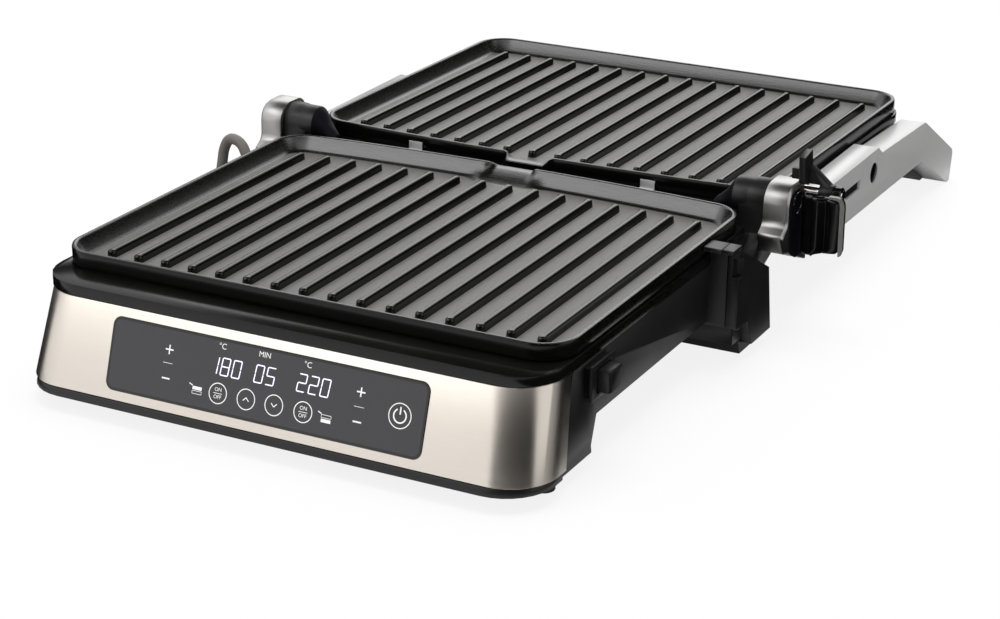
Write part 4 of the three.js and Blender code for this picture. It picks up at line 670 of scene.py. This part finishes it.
def panel_ring(inset, z):
    """The panel's rounded outline, drawn in from its edge, at a height over the fascia."""
    half = PANEL_WIDTH / 2 - inset
    top = PANEL_TOP_MARGIN + inset
    foot = PANEL_TOP_MARGIN + PANEL_HEIGHT - inset
    radius = PANEL_CORNER - inset
    points = []
    for x, y, start in ((half - radius, foot - radius, 0), (radius - half, foot - radius, 90),
                        (radius - half, top + radius, 180), (half - radius, top + radius, 270)):
        points.extend(level_arc(PANEL_SHIFT + x, y, z, radius, start, 90, PANEL_CORNER_STEPS))
    return points


def control_panel():
    """The touch panel: a black edge round a charcoal field."""
    section = (
        (0, -PANEL_DEPTH), (0, PANEL_PROUD - FASCIA_EDGE), (FASCIA_EDGE, PANEL_PROUD),
        (PANEL_BORDER, PANEL_PROUD),
    )
    rings = [panel_ring(inset, z) for inset, z in section]
    work = Mesher()
    work.loft(rings, caps=(True, False))
    work.flat(rings[-1], 1)
    panel = mesh_piece("touch_panel", work, [PANEL_RIM, PANEL_FIELD], "base", PANEL)
    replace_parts(panel, "control_glass")


class Marks:
    """Flat marks drawn on the panel."""

    def __init__(self):
        self.work = Mesher()

    def place(self, x, y):
        return Vector((x, y, PANEL_PROUD + MARK_LIFT))

    def bar(self, start, end, width, pointed=False):
        """A straight stroke with square ends, or with pointed ones as the bar of a digit has."""
        a = Vector(start)
        b = Vector(end)
        along = (b - a).normalized() * width / 2
        side = Vector((-along.y, along.x))
        corners = (a + side, b + side, b - side, a - side)
        if pointed:
            corners = (a, a + along + side, b - along + side, b, b - along - side, a + along - side)
        self.work.flat([self.place(*corner) for corner in corners])

    def arc(self, centre, radius, width, start=0, turn=360):
        """A ring or a part of one, angles from the right, clockwise as seen."""
        inner = arc_points(*centre, radius - width / 2, start, turn, MARK_STEPS)
        outer = arc_points(*centre, radius + width / 2, start, turn, MARK_STEPS)
        for corners in zip(inner, outer, outer[1:], inner[1:]):
            self.work.flat([self.place(*corner) for corner in corners])

    def plus(self, x, y, size, width):
        self.bar((x - size / 2, y), (x + size / 2, y), width)
        self.bar((x, y - size / 2), (x, y + size / 2), width)

    def chevron(self, x, y, size, way):
        """An arrow head, up for way -1 and down for way 1."""
        self.bar((x - size, y - way * size / 2), (x, y + way * size / 2), MARK_STROKE)
        self.bar((x + size, y - way * size / 2), (x, y + way * size / 2), MARK_STROKE)

    def text(self, words, x, y, size):
        """Small generic words, from the program's own plain font."""
        curve = bpy.data.curves.new("words", "FONT")
        curve.body = words
        curve.size = size
        curve.align_x = "CENTER"
        curve.align_y = "CENTER"
        holder = add_object("words", curve)
        bpy.context.view_layer.update()
        evaluated = holder.evaluated_get(bpy.context.evaluated_depsgraph_get())
        shape = bpy.data.meshes.new_from_object(evaluated)
        for polygon in shape.polygons:
            corners = [shape.vertices[index].co for index in polygon.vertices]
            self.work.flat([self.place(x + corner.x, y - corner.y) for corner in corners])
        bpy.data.objects.remove(holder)
        bpy.data.curves.remove(curve)
        bpy.data.meshes.remove(shape)

    def finish(self, name, material):
        mesh_piece(name, self.work, [material], "base", PANEL)


# The bars of a seven-bar digit, as shares of its width and height from its top left
BAR_SHARES = {
    "a": ((0, 0), (1, 0)), "b": ((1, 0), (1, 0.5)), "c": ((1, 0.5), (1, 1)), "d": ((0, 1), (1, 1)),
    "e": ((0, 0.5), (0, 1)), "f": ((0, 0), (0, 0.5)), "g": ((0, 0.5), (1, 0.5)),
}
DIGIT_BARS = {"0": "abcdef", "1": "bc", "2": "abged", "5": "afgcd", "8": "abcdefg"}


def draw_number(marks, number, start, top):
    """A number in slanted seven-bar digits."""
    for place, digit in enumerate(number):
        left = start + place * DIGIT_PITCH
        for bar in DIGIT_BARS[digit]:
            ends = []
            for across, down in BAR_SHARES[bar]:
                slant = DIGIT_SLANT_SHARE * DIGIT_HEIGHT * (1 - down)
                ends.append((left + DIGIT_WIDTH * across + slant, top + DIGIT_HEIGHT * down))
            marks.bar(*ends, DIGIT_STROKE, pointed=True)


# What is on the panel: x across from the middle, y down the slope from the fascia's top
NUMBERS = (("180", -0.0350, 0.0151), ("05", -0.0080, 0.0148), ("220", 0.0172, 0.0145))
WORDS = (("°C", -0.0286, 0.0095, 0.0042), ("MIN", -0.0034, 0.0092, 0.0040), ("°C", 0.0220, 0.0095, 0.0042))
SWITCHES = ((-0.0278, 0.0334), (0.0228, 0.0331))
ARROWS = ((-0.0109, 0.0332, -1), (0.0057, 0.0330, 1))
STEPPERS = ((-0.0600, 0.0168, 0.0238, 0.0317), (0.0538, 0.0170, 0.0244, 0.0319))
PANS = ((-0.0404, 0.0343, 1), (0.0363, 0.0339, -1))
POWER_PLACE = (0.0769, 0.0243)
POWER_RADIUS = 0.0062
POWER_RING_SHARE = 0.56
POWER_BAR_SHARES = (0.72, 0.1)
POWER_RING_START = -60
POWER_RING_TURN = 300
SWITCH_LINE_STROKE = MARK_STROKE * 0.6
SWITCH_WORD_SIZE = 0.0027
SWITCH_WORD_OFFSET = 0.0019
ARROW_SIZE = 0.0017
SIGN_SIZE = 0.0048
SIGN_LINE_SHARE = 0.6
MINUS_STROKE = MARK_STROKE * 1.6
PAN_WIDTH = 0.0056
PAN_DEPTH = 0.0022
PAN_FILL_SHARE = 0.8
PAN_HANDLE_SHARE = 1.4


def draw_pan(marks, x, y, way):
    """A plain sign for a plate: a lid and a pan, one of them filled, with a handle."""
    left = x - PAN_WIDTH / 2
    right = x + PAN_WIDTH / 2
    filled_y = y - way * PAN_DEPTH / 2
    open_y = y + way * PAN_DEPTH / 2
    open_edges = (open_y - PAN_DEPTH / 3, open_y + PAN_DEPTH / 3)
    marks.bar((left, filled_y), (right, filled_y), PAN_DEPTH * PAN_FILL_SHARE)
    for edge_y in open_edges:
        marks.bar((left, edge_y), (right, edge_y), MARK_STROKE / 2)
    for edge_x in (left, right):
        marks.bar((edge_x, open_edges[0]), (edge_x, open_edges[1]), MARK_STROKE / 2)
    handle_end = (left - PAN_DEPTH, y - PAN_DEPTH * PAN_HANDLE_SHARE)
    marks.bar((left, y - PAN_DEPTH), handle_end, MARK_STROKE)


def panel_marks():
    """Generic numbers and signs on the touch panel."""
    digits = Marks()
    for number, left, top in NUMBERS:
        draw_number(digits, number, left, top)
    digits.finish("panel_numbers", DIGITS)
    prints = Marks()
    for words, x, y, size in WORDS:
        prints.text(words, x, y, size)
    for x, y in SWITCHES:
        prints.arc((x, y), BUTTON_RADIUS, MARK_STROKE)
        prints.text("ON", x, y - SWITCH_WORD_OFFSET, SWITCH_WORD_SIZE)
        prints.bar((x - BUTTON_RADIUS / 2, y), (x + BUTTON_RADIUS / 2, y), SWITCH_LINE_STROKE)
        prints.text("OFF", x, y + SWITCH_WORD_OFFSET, SWITCH_WORD_SIZE)
    for x, y, way in ARROWS:
        prints.arc((x, y), BUTTON_RADIUS, MARK_STROKE)
        prints.chevron(x, y, ARROW_SIZE, way)
    for x, plus_y, line_y, minus_y in STEPPERS:
        line_half = SIGN_SIZE * SIGN_LINE_SHARE
        prints.plus(x, plus_y, SIGN_SIZE, BOLD_STROKE)
        prints.bar((x - line_half, line_y), (x + line_half, line_y), MARK_STROKE / 2)
        prints.bar((x - SIGN_SIZE / 2, minus_y), (x + SIGN_SIZE / 2, minus_y), MINUS_STROKE)
    for x, y, way in PANS:
        draw_pan(prints, x, y, way)
    prints.arc(POWER_PLACE, POWER_RADIUS, MARK_STROKE)
    prints.arc(POWER_PLACE, POWER_RADIUS * POWER_RING_SHARE, BOLD_STROKE, POWER_RING_START, POWER_RING_TURN)
    x, y = POWER_PLACE
    top, foot = (y - POWER_RADIUS * share for share in POWER_BAR_SHARES)
    prints.bar((x, top), (x, foot), BOLD_STROKE)
    prints.finish("panel_signs", PRINT)


# The most of a side that the rounding of one of its corners may take, and the roundings' steps
SIDE_SHARE = 0.48
ROUND_STEPS = 6
SLOT_ROUND_STEPS = 2
BAND_ROUND_STEPS = 8


def rounded_path(corners, steps=ROUND_STEPS):
    """A closed outline whose corners, given as across, up and radius, are rounded."""
    path = []
    for index, (across, up, radius) in enumerate(corners):
        corner = Vector((across, up))
        before = Vector(corners[index - 1][:2]) - corner
        after = Vector(corners[(index + 1) % len(corners)][:2]) - corner
        reach = radius / math.tan(before.angle(after) / 2)
        start = corner + before.normalized() * min(reach, before.length * SIDE_SHARE)
        end = corner + after.normalized() * min(reach, after.length * SIDE_SHARE)
        for step in range(steps + 1):
            share = step / steps
            path.append(start * (1 - share) ** 2 + corner * 2 * share * (1 - share) + end * share ** 2)
    return path


def slab(work, outline, inner, outer, edge, side):
    """A flat body across x, with its outer edge eased; the outline is y and z."""
    middle = sum(outline, Vector((0, 0))) / len(outline)

    def ring(x, inset):
        points = []
        for point in outline:
            away = middle - point
            place = point + away.normalized() * inset
            points.append(Vector((side * x, place.x, place.y)))
        return points

    work.loft([ring(inner, 0), ring(outer - edge, 0), ring(outer, edge)])


# Hinge fairing: distance out from the middle, radius, height and y of each round section
FAIRING = (
    (0.1579, 0.0103, 0.0770, 0.0008), (0.1577, 0.0107, 0.0770, 0.0008), (0.1572, 0.0110, 0.0770, 0.0008),
    (0.1496, 0.0110, 0.0770, 0.0008), (0.1486, 0.0109, 0.0770, 0.0006), (0.1480, 0.01075, 0.0770, 0.0003),
    (0.1440, 0.0107, 0.0770, 0.0), (0.1392, 0.0107, 0.0770, 0.0), (0.1381, 0.0105, 0.0769, 0.0),
    (0.1370, 0.0098, 0.0767, 0.0), (0.1356, 0.0088, 0.0759, 0.0), (0.1342, 0.0079, 0.0748, 0.0),
    (0.1326, 0.0069, 0.0735, -0.0002), (0.1308, 0.0060, 0.0723, -0.0006), (0.1285, 0.0052, 0.0710, -0.0012),
    (0.1262, 0.0045, 0.0698, -0.0018), (0.1245, 0.0036, 0.0687, -0.0022),
)
# The section of the fairing at which its neck begins
NECK_STATION = 8
FAIRING_STEPS = 40


def hinge_fairing(name, side):
    """The black collar beside a knuckle, with a neck that sweeps down towards the deck; the neck's duller
    black is painted shade under the plate's edge.
    """
    work = Mesher()
    rings = []
    for out, radius, height, y in FAIRING:
        section = circle_points(y, height, radius, FAIRING_STEPS)
        rings.append([Vector((side * out, *place)) for place in section])
    work.loft(rings[:NECK_STATION + 1], caps=(True, False))
    # The neck in the dull black: painted shade
    work.loft(rings[NECK_STATION:], caps=(False, True), material=1)
    mesh_piece(name, work, [BLACK, PAINTED_DARK_BLACK], "base")


# Outlines of the knuckles' painted-reflection sheets and of the arms' slots: y, z and corner radius
REFLECTION_SHEET = (
    (-0.0095, 0.0848, 0.007), (-0.0104, 0.058, 0.003), (-0.0085, 0.049, 0.004), (0.0, 0.0445, 0.004),
    (0.0142, 0.0440, 0.002), (0.0142, 0.0748, 0.002), (0.0089, 0.0749, 0.001), (0.0032, 0.0848, 0.0015),
)
REFLECTION_SHEET_INNER = 0.17305
REFLECTION_SHEET_OUTER = 0.1734
REFLECTION_SHEET_EDGE = 0.0002
RING_RADIUS = 0.0059
RING_STEPS = 36
RING_TUBE = 0.00022
RING_TUBE_STEPS = 8
SLOT = (
    (0.08665, 0.05395, 0.0003), (0.09560, 0.04825, 0.0003), (0.11805, 0.04825, 0.0003),
    (0.11805, 0.05395, 0.0003),
)
SLOT_INNER = 0.1662
SLOT_OUTER = 0.1665
SLOT_EDGE = 0.00005


def knuckle_reflection_sheet(name, side):
    """A dull black sheet over a knuckle's outer face, a painted dark reflection, with the bright ring round
    the hinge pin's cap.
    """
    work = Mesher()
    # The sheet paints the dark reflection on the knuckle's outer face
    slab(work, rounded_path(REFLECTION_SHEET), REFLECTION_SHEET_INNER, REFLECTION_SHEET_OUTER, REFLECTION_SHEET_EDGE, side)
    tube = circle_points(RING_RADIUS, REFLECTION_SHEET_OUTER, RING_TUBE, RING_TUBE_STEPS)
    rings = []
    for across, up in circle_points(0, 0, 1, RING_STEPS):
        rings.append([Vector((side * x, reach * across, HINGE_HEIGHT + reach * up)) for reach, x in tube])
    work.loft([*rings, rings[0]], caps=(False, False), material=1)
    mesh_piece(name, work, [PAINTED_DARK_BLACK, BRIGHT], "arms")


def slot_painted_shade(name, side):
    """A dull black sheet in an arm's slot, just outside the stop pin's end: painted shade in the slot."""
    work = Mesher()
    # The sheet paints the shade in the slot
    slab(work, rounded_path(SLOT, SLOT_ROUND_STEPS), SLOT_INNER, SLOT_OUTER, SLOT_EDGE, side)
    mesh_piece(name, work, [PAINTED_DARK_BLACK], "arms")


# Release lever: its outer box
LEVER_LEFT = 0.177
LEVER_RIGHT = 0.2005
LEVER_FOOT = 0.0484
LEVER_TOP = 0.0842
LEVER_FRONT = 0.0065
# Shares across the lever, and of how far its front stands out there
LEVER_WAVE_SHARES = (
    (0.0, 0.35), (0.05, 0.52), (0.12, 0.60), (0.26, 0.62), (0.29, 0.74), (0.32, 0.90),
    (0.40, 0.93), (0.49, 0.90), (0.53, 0.80), (0.57, 0.70), (0.62, 0.68), (0.66, 0.78),
    (0.71, 0.96), (0.78, 1.0), (0.92, 1.0), (1.0, 0.95),
)
# Shares up the lever, and how far its surface is drawn in there
LEVER_LEVELS = (
    (0.0, 0.0016), (0.006, 0.0011), (0.016, 0.0006), (0.032, 0.0002), (0.05, 0.0), (0.09, 0.0),
    (0.5, 0.0), (0.91, 0.0), (0.95, 0.0), (0.968, 0.0002), (0.984, 0.0006), (0.994, 0.0011),
    (1.0, 0.0016),
)
# The lever's rear: how far in from its right side, and y
LEVER_REAR = ((0.0, -0.0026), (0.004, -0.0012), (0.009, 0.0028))
# Where the lever's foot rises: by how much, and the x where the rise starts and ends
LEVER_FOOT_RISES = ((0.0032, 0.1835, 0.1875), (0.0008, 0.188, 0.2005))
LEVER_CORNER = 0.004

# Rod across the knuckle, and the lever's lug and web on it
ROD_Y = 0.0085
ROD_HEIGHT = 0.082
ROD_RADIUS = 0.003
ROD_START = 0.1662
ROD_END = 0.1966
ROD_EDGE = 0.0004
ROD_STEPS = 30
LUG_RADIUS = 0.0048
LUG_INNER = 0.1920
LUG_OUTER = 0.1962
LUG_EDGE = 0.0005
WEB_INNER = 0.1924
WEB_OUTER = 0.1958
WEB_EDGE = 0.0004
# Web outline: y, z and corner radius
WEB = (
    (-0.001, 0.0772, 0.0003), (ROD_Y, 0.0773, 0.0003), (ROD_Y, 0.0862, 0.001), (-0.001, 0.0836, 0.0003),
)

# Band round the lever's outer end, whose front carries a painted highlight: x, z and corner radius of its
# outline
BAND_INNER = 0.2007
BAND_OUTER = 0.2033
BAND = (
    (0.1940, 0.0862, 0.0002), (0.1940, 0.0846, 0.0002), (BAND_INNER, 0.0846, 0.0036),
    (BAND_INNER, 0.0522, 0.0002), (0.2019, 0.0522, 0.0008), (BAND_OUTER, 0.0560, 0.0030),
    (BAND_OUTER, 0.0862, 0.0056),
)
BAND_FRONT = -0.0074
BAND_REAR = -0.0050
# How far back from the band's front the painted highlight reaches
BAND_PAINTED_HIGHLIGHT_DEPTH = 0.0004


def lever_ring(share, inset):
    """A level ring of the lever, tilted at its foot, with a rounded outer corner."""
    drop = min(share, 1 - share) * (LEVER_TOP - LEVER_FOOT)
    nearness = max(0, LEVER_CORNER - drop)
    corner_inset = LEVER_CORNER - math.sqrt(max(0, LEVER_CORNER ** 2 - nearness ** 2))
    left = LEVER_LEFT + inset / 2
    right = LEVER_RIGHT - corner_inset
    width = right - left
    outline = [(left + width * across, inset - LEVER_FRONT * depth) for across, depth in LEVER_WAVE_SHARES]
    outline.extend((right - back, y - inset) for back, y in LEVER_REAR)
    outline.append((left, LEVER_REAR[-1][1] - inset))
    ring = []
    for x, y in outline:
        foot = LEVER_FOOT + sum(rise * smoothstep(start, end, x) for rise, start, end in LEVER_FOOT_RISES)
        ring.append(Vector((x, y, foot + share * (LEVER_TOP - foot))))
    return ring


def release_lever():
    """The ribbed lever with its lug on the rod and a band round its outer end, glossy black with a painted
    highlight along its front edge.
    """
    work = Mesher()
    work.loft([lever_ring(share, inset) for share, inset in LEVER_LEVELS])
    lug = [Vector(place) for place in circle_points(ROD_Y, ROD_HEIGHT, LUG_RADIUS, ROD_STEPS)]
    slab(work, lug, LUG_INNER, LUG_OUTER, LUG_EDGE, 1)
    slab(work, rounded_path(WEB), WEB_INNER, WEB_OUTER, WEB_EDGE, 1)
    front, middle, rear = (
        [Vector((point.x, y, point.y)) for point in rounded_path(BAND, BAND_ROUND_STEPS)]
        for y in (BAND_FRONT, BAND_FRONT + BAND_PAINTED_HIGHLIGHT_DEPTH, BAND_REAR)
    )
    # The band's front face and its first thin slice in satin alloy: a painted highlight along its edge; the
    # rest is glossy black
    work.loft([front, middle], caps=(True, False), material=1)
    work.loft([middle, rear], caps=(False, True))
    lever = mesh_piece("ribbed_lever", work, [GLOSS, ALLOY], "release_lever")
    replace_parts(lever, "release_lever", "lever_trim")


def release_rod():
    """The bright rod across the right knuckle, which the lever and the cam turn on."""
    work = Mesher()
    rings = []
    stations = (
        (ROD_START, ROD_EDGE), (ROD_START + ROD_EDGE, 0), (ROD_END - ROD_EDGE, 0), (ROD_END, ROD_EDGE),
    )
    for x, inset in stations:
        section = circle_points(ROD_Y, ROD_HEIGHT, ROD_RADIUS - inset, ROD_STEPS)
        rings.append([Vector((x, *place)) for place in section])
    work.loft(rings)
    rod = mesh_piece("cross_rod", work, [BRIGHT], "arms")
    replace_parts(rod, "release_rod")


def coil_points():
    """The coil: it spirals in on the table, climbs, and spirals out again."""
    outer = COIL_MID_RADIUS + COIL_PITCH * (COIL_LOOPS / 2 - 1) / 2
    total = COIL_LOOPS * COIL_STEPS
    points = []
    for step in range(total + 1):
        turn = step / COIL_STEPS
        inwards = min(turn, COIL_LOOPS - turn)
        radius = outer - COIL_PITCH * inwards + COIL_PITCH / 2
        climb = min(max((turn - COIL_LOOPS / 2) / COIL_CLIMB_TURNS + 0.5, 0), 1)
        angle = 2 * math.pi * turn
        points.append(Vector((COIL_X + radius * math.cos(angle), COIL_Y - radius * math.sin(angle),
                              CORD_RADIUS + COIL_LIFT * climb)))
    return points


# The cord's free stretches, from the relief to the coil and from the coil to the plug
ROUTE_FROM_RELIEF = (
    (-0.1855, -0.0220, 0.0656), (-0.1900, -0.0213, 0.0652), (-0.1938, -0.0213, 0.0605),
    (-0.1956, -0.0228, 0.0500), (-0.1960, -0.0255, 0.0360), (-0.1930, -0.0310, 0.0170),
    (-0.1840, -0.0380, 0.0060), (-0.1745, -0.0475, 0.0038), (-0.1680, -0.0610, 0.0035),
)
ROUTE_TO_PLUG = ((-0.1668, -0.0990, 0.0094), (-0.1716, -0.1110, 0.0084))
# The strain relief's root, way and length, and the plug's nose
RELIEF_START = Vector((-0.161, -0.030, 0.038))
RELIEF_TRAVEL = Vector((-0.6, 0.22, 0.77)).normalized()
RELIEF_LENGTH = 0.026
PLUG_NOSE = Vector((-0.1765, -0.1277, 0.008))


def mains_cord():
    """One smooth cord from the strain relief through the coil to the plug."""
    exit_place = RELIEF_START + RELIEF_TRAVEL * (RELIEF_LENGTH + SEAT_GAP)
    straight_out = exit_place + RELIEF_TRAVEL * CORD_RADIUS * 2
    coil = coil_points()
    straight_in = PLUG_NOSE + Vector((0, CORD_RADIUS * 2, 0))
    route = [exit_place, straight_out, *map(Vector, ROUTE_FROM_RELIEF), *coil,
             *map(Vector, ROUTE_TO_PLUG), straight_in, PLUG_NOSE]
    curve = bpy.data.curves.new("mains_lead", "CURVE")
    curve.dimensions = "3D"
    curve.bevel_depth = CORD_RADIUS
    curve.bevel_resolution = 5
    curve.use_fill_caps = True
    curve.resolution_u = 6
    spline = curve.splines.new("BEZIER")
    spline.bezier_points.add(len(route) - 1)
    for knot, point in zip(spline.bezier_points, route):
        knot.co = ORIGIN + point
        knot.handle_left_type = "AUTO"
        knot.handle_right_type = "AUTO"
    curve.materials.append(JACKET)
    lead = add_object("mains_lead", curve)
    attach(lead, "base")
    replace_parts(lead, "mains_cord", "cord_coil", "plug_lead")


def look_along(azimuth, elevation):
    """The way that the camera looks, from its azimuth and elevation."""
    return Vector((-math.sin(azimuth) * math.cos(elevation), math.cos(azimuth) * math.cos(elevation),
                   -math.sin(elevation)))


def make_camera():
    camera = add_object("camera", bpy.data.cameras.new("camera"))
    camera.data.sensor_width = CAMERA_SENSOR
    camera.data.lens = CAMERA_LENS
    camera.location = ORIGIN + CAMERA_PLACE
    camera.rotation_mode = "QUATERNION"
    camera.rotation_quaternion = look_along(CAMERA_AZIMUTH, CAMERA_ELEVATION).to_track_quat("-Z", "Y")
    bpy.context.scene.camera = camera


# Studio: how far the floor runs, how bright it and the world are to the eye and on the object
FLOOR_REACH = 9.0
FLOOR_PAPER = (0.86, 0.86, 0.86)
FLOOR_SEEN = 0.86
FLOOR_MIRRORED = 0.2
WORLD_FILL = 0.35
# Lamps: name, place, aim, size, power, and whether reflections show it
LIGHTS = (
    ("key", (-0.68, -0.85, 1.1), (0, 0, 0.07), (0.9, 0.7), 2.9, True),
    ("back", (-0.9, 2.2, 1.3), (0, 0.1, 0.05), (2.0, 1.2), 10, True),
    ("top", (0.1, 0.2, 2.2), (0, 0, 0.05), (1.6, 1.6), 44, False),
)
# Black cards: name, corners; the two on the floor lie just over it
CARD_LIFT = 0.001
CARDS = (
    ("card_right", ((0.95, 0.2, 0), (0.95, 2.6, 0), (0.95, 2.6, 1.6), (0.95, 0.2, 1.2))),
    ("card_front", ((-0.21, -1.53, 0), (1.10, -0.56, 0), (1.10, -0.56, 1.3), (-0.21, -1.53, 1.3))),
    ("card_left", ((-1.1, -0.32, 0), (-1.1, 1.3, 0), (-1.1, 1.3, 0.6), (-1.1, -0.32, 0.6))),
    ("card_back", ((0.95, 2.6, 0), (0.0, 3.2, 0), (0.0, 3.2, 1.0), (0.95, 2.6, 1.6))),
    ("card_top", ((-1.3, -0.6, 1.7), (1.3, -0.6, 1.7), (1.3, 1.5, 1.7), (-1.3, 1.5, 1.7))),
    ("card_left_floor", (
        (-1.3, -0.32, CARD_LIFT), (-0.18, -0.32, CARD_LIFT), (-0.18, 1.3, CARD_LIFT), (-1.3, 1.3, CARD_LIFT),
    )),
    ("card_right_floor", (
        (0.16, -0.5, CARD_LIFT), (0.8, -0.5, CARD_LIFT), (0.8, 1.2, CARD_LIFT), (0.16, 1.2, CARD_LIFT),
    )),
)


def pick_share(nodes, links, seen, mirrored, lit):
    """One number for what the camera sees, one for reflections, and one for light on the object."""
    ways = nodes.new("ShaderNodeLightPath")
    either = nodes.new("ShaderNodeMath")
    either.operation = "MAXIMUM"
    links.new(ways.outputs["Is Glossy Ray"], either.inputs[0])
    links.new(ways.outputs["Is Transmission Ray"], either.inputs[1])
    low = add_range(nodes, links, either.outputs["Value"], lit, mirrored)
    high = nodes.new("ShaderNodeMapRange")
    high.inputs["To Max"].default_value = seen
    links.new(ways.outputs["Is Camera Ray"], high.inputs["Value"])
    links.new(low, high.inputs["To Min"])
    return high.outputs["Result"]


def studio_sheet(name, corners, material):
    """A flat sheet that stands or lies about the object."""
    mesh = bpy.data.meshes.new(name)
    mesh.from_pydata(corners, [], [(0, 1, 2, 3)])
    mesh.materials.append(material)
    sheet = add_object(name, mesh)
    return sheet


def make_floor():
    """A pale floor that runs out of view: near white to the eye, and it keeps the object's shadow."""
    paper = Finish("floor_paper", FLOOR_PAPER, 0.9)
    paper.level("Specular IOR Level", 0.0)
    white = paper.nodes.new("ShaderNodeEmission")
    mix = paper.nodes.new("ShaderNodeMixShader")
    seen_share = pick_share(paper.nodes, paper.links, FLOOR_SEEN, FLOOR_MIRRORED, 0.0)
    paper.links.new(seen_share, mix.inputs["Fac"])
    paper.links.new(paper.shader.outputs["BSDF"], mix.inputs[1])
    paper.links.new(white.outputs["Emission"], mix.inputs[2])
    paper.links.new(mix.outputs["Shader"], paper.nodes["Material Output"].inputs["Surface"])
    corners = [(FLOOR_REACH * x, FLOOR_REACH * y, 0) for x, y in ((-1, -1), (1, -1), (1, 1), (-1, 1))]
    studio_sheet("floor", corners, paper.material)


def make_world():
    """White to the eye and in reflections, and a softer fill on the object."""
    world = bpy.data.worlds.new("studio")
    bpy.context.scene.world = world
    world.use_nodes = True
    nodes = world.node_tree.nodes
    links = world.node_tree.links
    background = nodes["Background"]
    background.inputs["Color"].default_value = (1, 1, 1, 1)
    links.new(pick_share(nodes, links, 1.0, 1.0, WORLD_FILL), background.inputs["Strength"])


def make_card(name, corners):
    """A black card that only reflections show, as a studio stands beside shiny black things."""
    dull = Finish("card_black", (0.002, 0.002, 0.002), 1.0)
    dull.level("Specular IOR Level", 0.0)
    card = studio_sheet(name, corners, dull.material)
    card.visible_camera = False
    card.visible_diffuse = False
    card.visible_shadow = False


def area_light(name, place, aim, size, power, mirrored):
    light = bpy.data.lights.new(name, "AREA")
    light.shape = "RECTANGLE"
    light.size, light.size_y = size
    light.energy = power
    lamp = add_object(name, light)
    lamp.location = place
    lamp.rotation_mode = "QUATERNION"
    lamp.rotation_quaternion = (Vector(aim) - Vector(place)).to_track_quat("-Z", "Y")
    lamp.visible_glossy = mirrored


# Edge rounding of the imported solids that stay, by material
FINISHES = (
    (BLACK, {
        "base_shell": 0.0010, "base_bottom_cover": 0.0004, "fascia_trim": 0.0003, "grease_chute": 0.0004,
        "drip_tray": 0.0012, "lower_latch_frame": 0.0003, "lower_release_button": 0.0005,
        "handle_grip": 0.0008, "height_cam": 0.0003, "lid_shell": 0.0005, "upper_release_button": 0.0005,
    }),
    (DECK, {"base_deck": 0.0014, "lid_deck": 0.0006}),
    (BRIGHT, {"lower_latch_spring": 0, "upper_latch_spring": 0}),
    (GLOSS, {"display_module": 0}),
    (BOARD, {"control_board": 0}),
    (RUBBER, {"strain_relief": 0.0002, "mains_plug": 0.0004}),
    (SILVER, {"handle_bar": 0.0008}),
    # The lid's cover in the darker steel of painted shade
    (PAINTED_SHADE_COVER, {"lid_cover": 0.0002}),
    (SHEET, {"lower_heater": 0, "upper_heater": 0, "lower_reflector": 0, "upper_reflector": 0}),
    (ALLOY, {"lower_thermostat": 0.0004, "upper_thermostat": 0.0004}),
)
# The same for the solids that come as a left and a right one
PAIR_FINISHES = (
    (BRIGHT, {"hinge_pin": 0.0002, "stop_pin": 0.0002}),
    (RUBBER, {"front_foot": 0.0004, "rear_pad": 0.0002}),
    (ALLOY, {"knuckle": 0.0006, "knuckle_cap": 0.0003}),
    (SILVER, {"arm": 0.0008, "lower_clip": 0.0003, "upper_clip": 0.0003}),
    (GLOSS, {"pivot_pin": 0.0003}),
)
SIDES = (("left", -1), ("right", 1))

make_camera()
mains_cord()
make_floor()
make_world()
for lamp_values in LIGHTS:
    area_light(*lamp_values)
for card_name, card_corners in CARDS:
    make_card(card_name, card_corners)

for material, roundings in FINISHES:
    for node, bevel in roundings.items():
        polish(node, material, bevel)
for material, roundings in PAIR_FINISHES:
    for stem, bevel in roundings.items():
        for side_name, _ in SIDES:
            polish(f"{stem}_{side_name}", material, bevel)

half_turn = Matrix.Rotation(math.pi, 4, "Z")
lower_place = Matrix.Translation(ORIGIN + Vector((0, -PLATE_HINGE_GAP, PLATE_TOP))) @ half_turn
lid_turn = Matrix.Translation(PIVOT) @ Matrix.Rotation(LID_TILT, 4, "X") @ Matrix.Translation(-PIVOT)
upper_place = lid_turn @ Matrix.Translation(ORIGIN + Vector((0, PLATE_HINGE_GAP, LID_PLATE_TOP)))
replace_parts(cooking_plate("lower_ribbed_plate", lower_place, "base"), "lower_plate")
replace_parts(cooking_plate("upper_ribbed_plate", upper_place, "lid"), "upper_plate")
steel_fascia()
control_panel()
panel_marks()
for side_name, side_way in SIDES:
    hinge_fairing(f"hinge_fairing_{side_name}", side_way)
    knuckle_reflection_sheet(f"knuckle_inlay_{side_name}", side_way)
    slot_painted_shade(f"slot_painted_shade_{side_name}", side_way)
release_lever()
release_rod()

bpy.context.scene.view_settings.view_transform = "Standard"
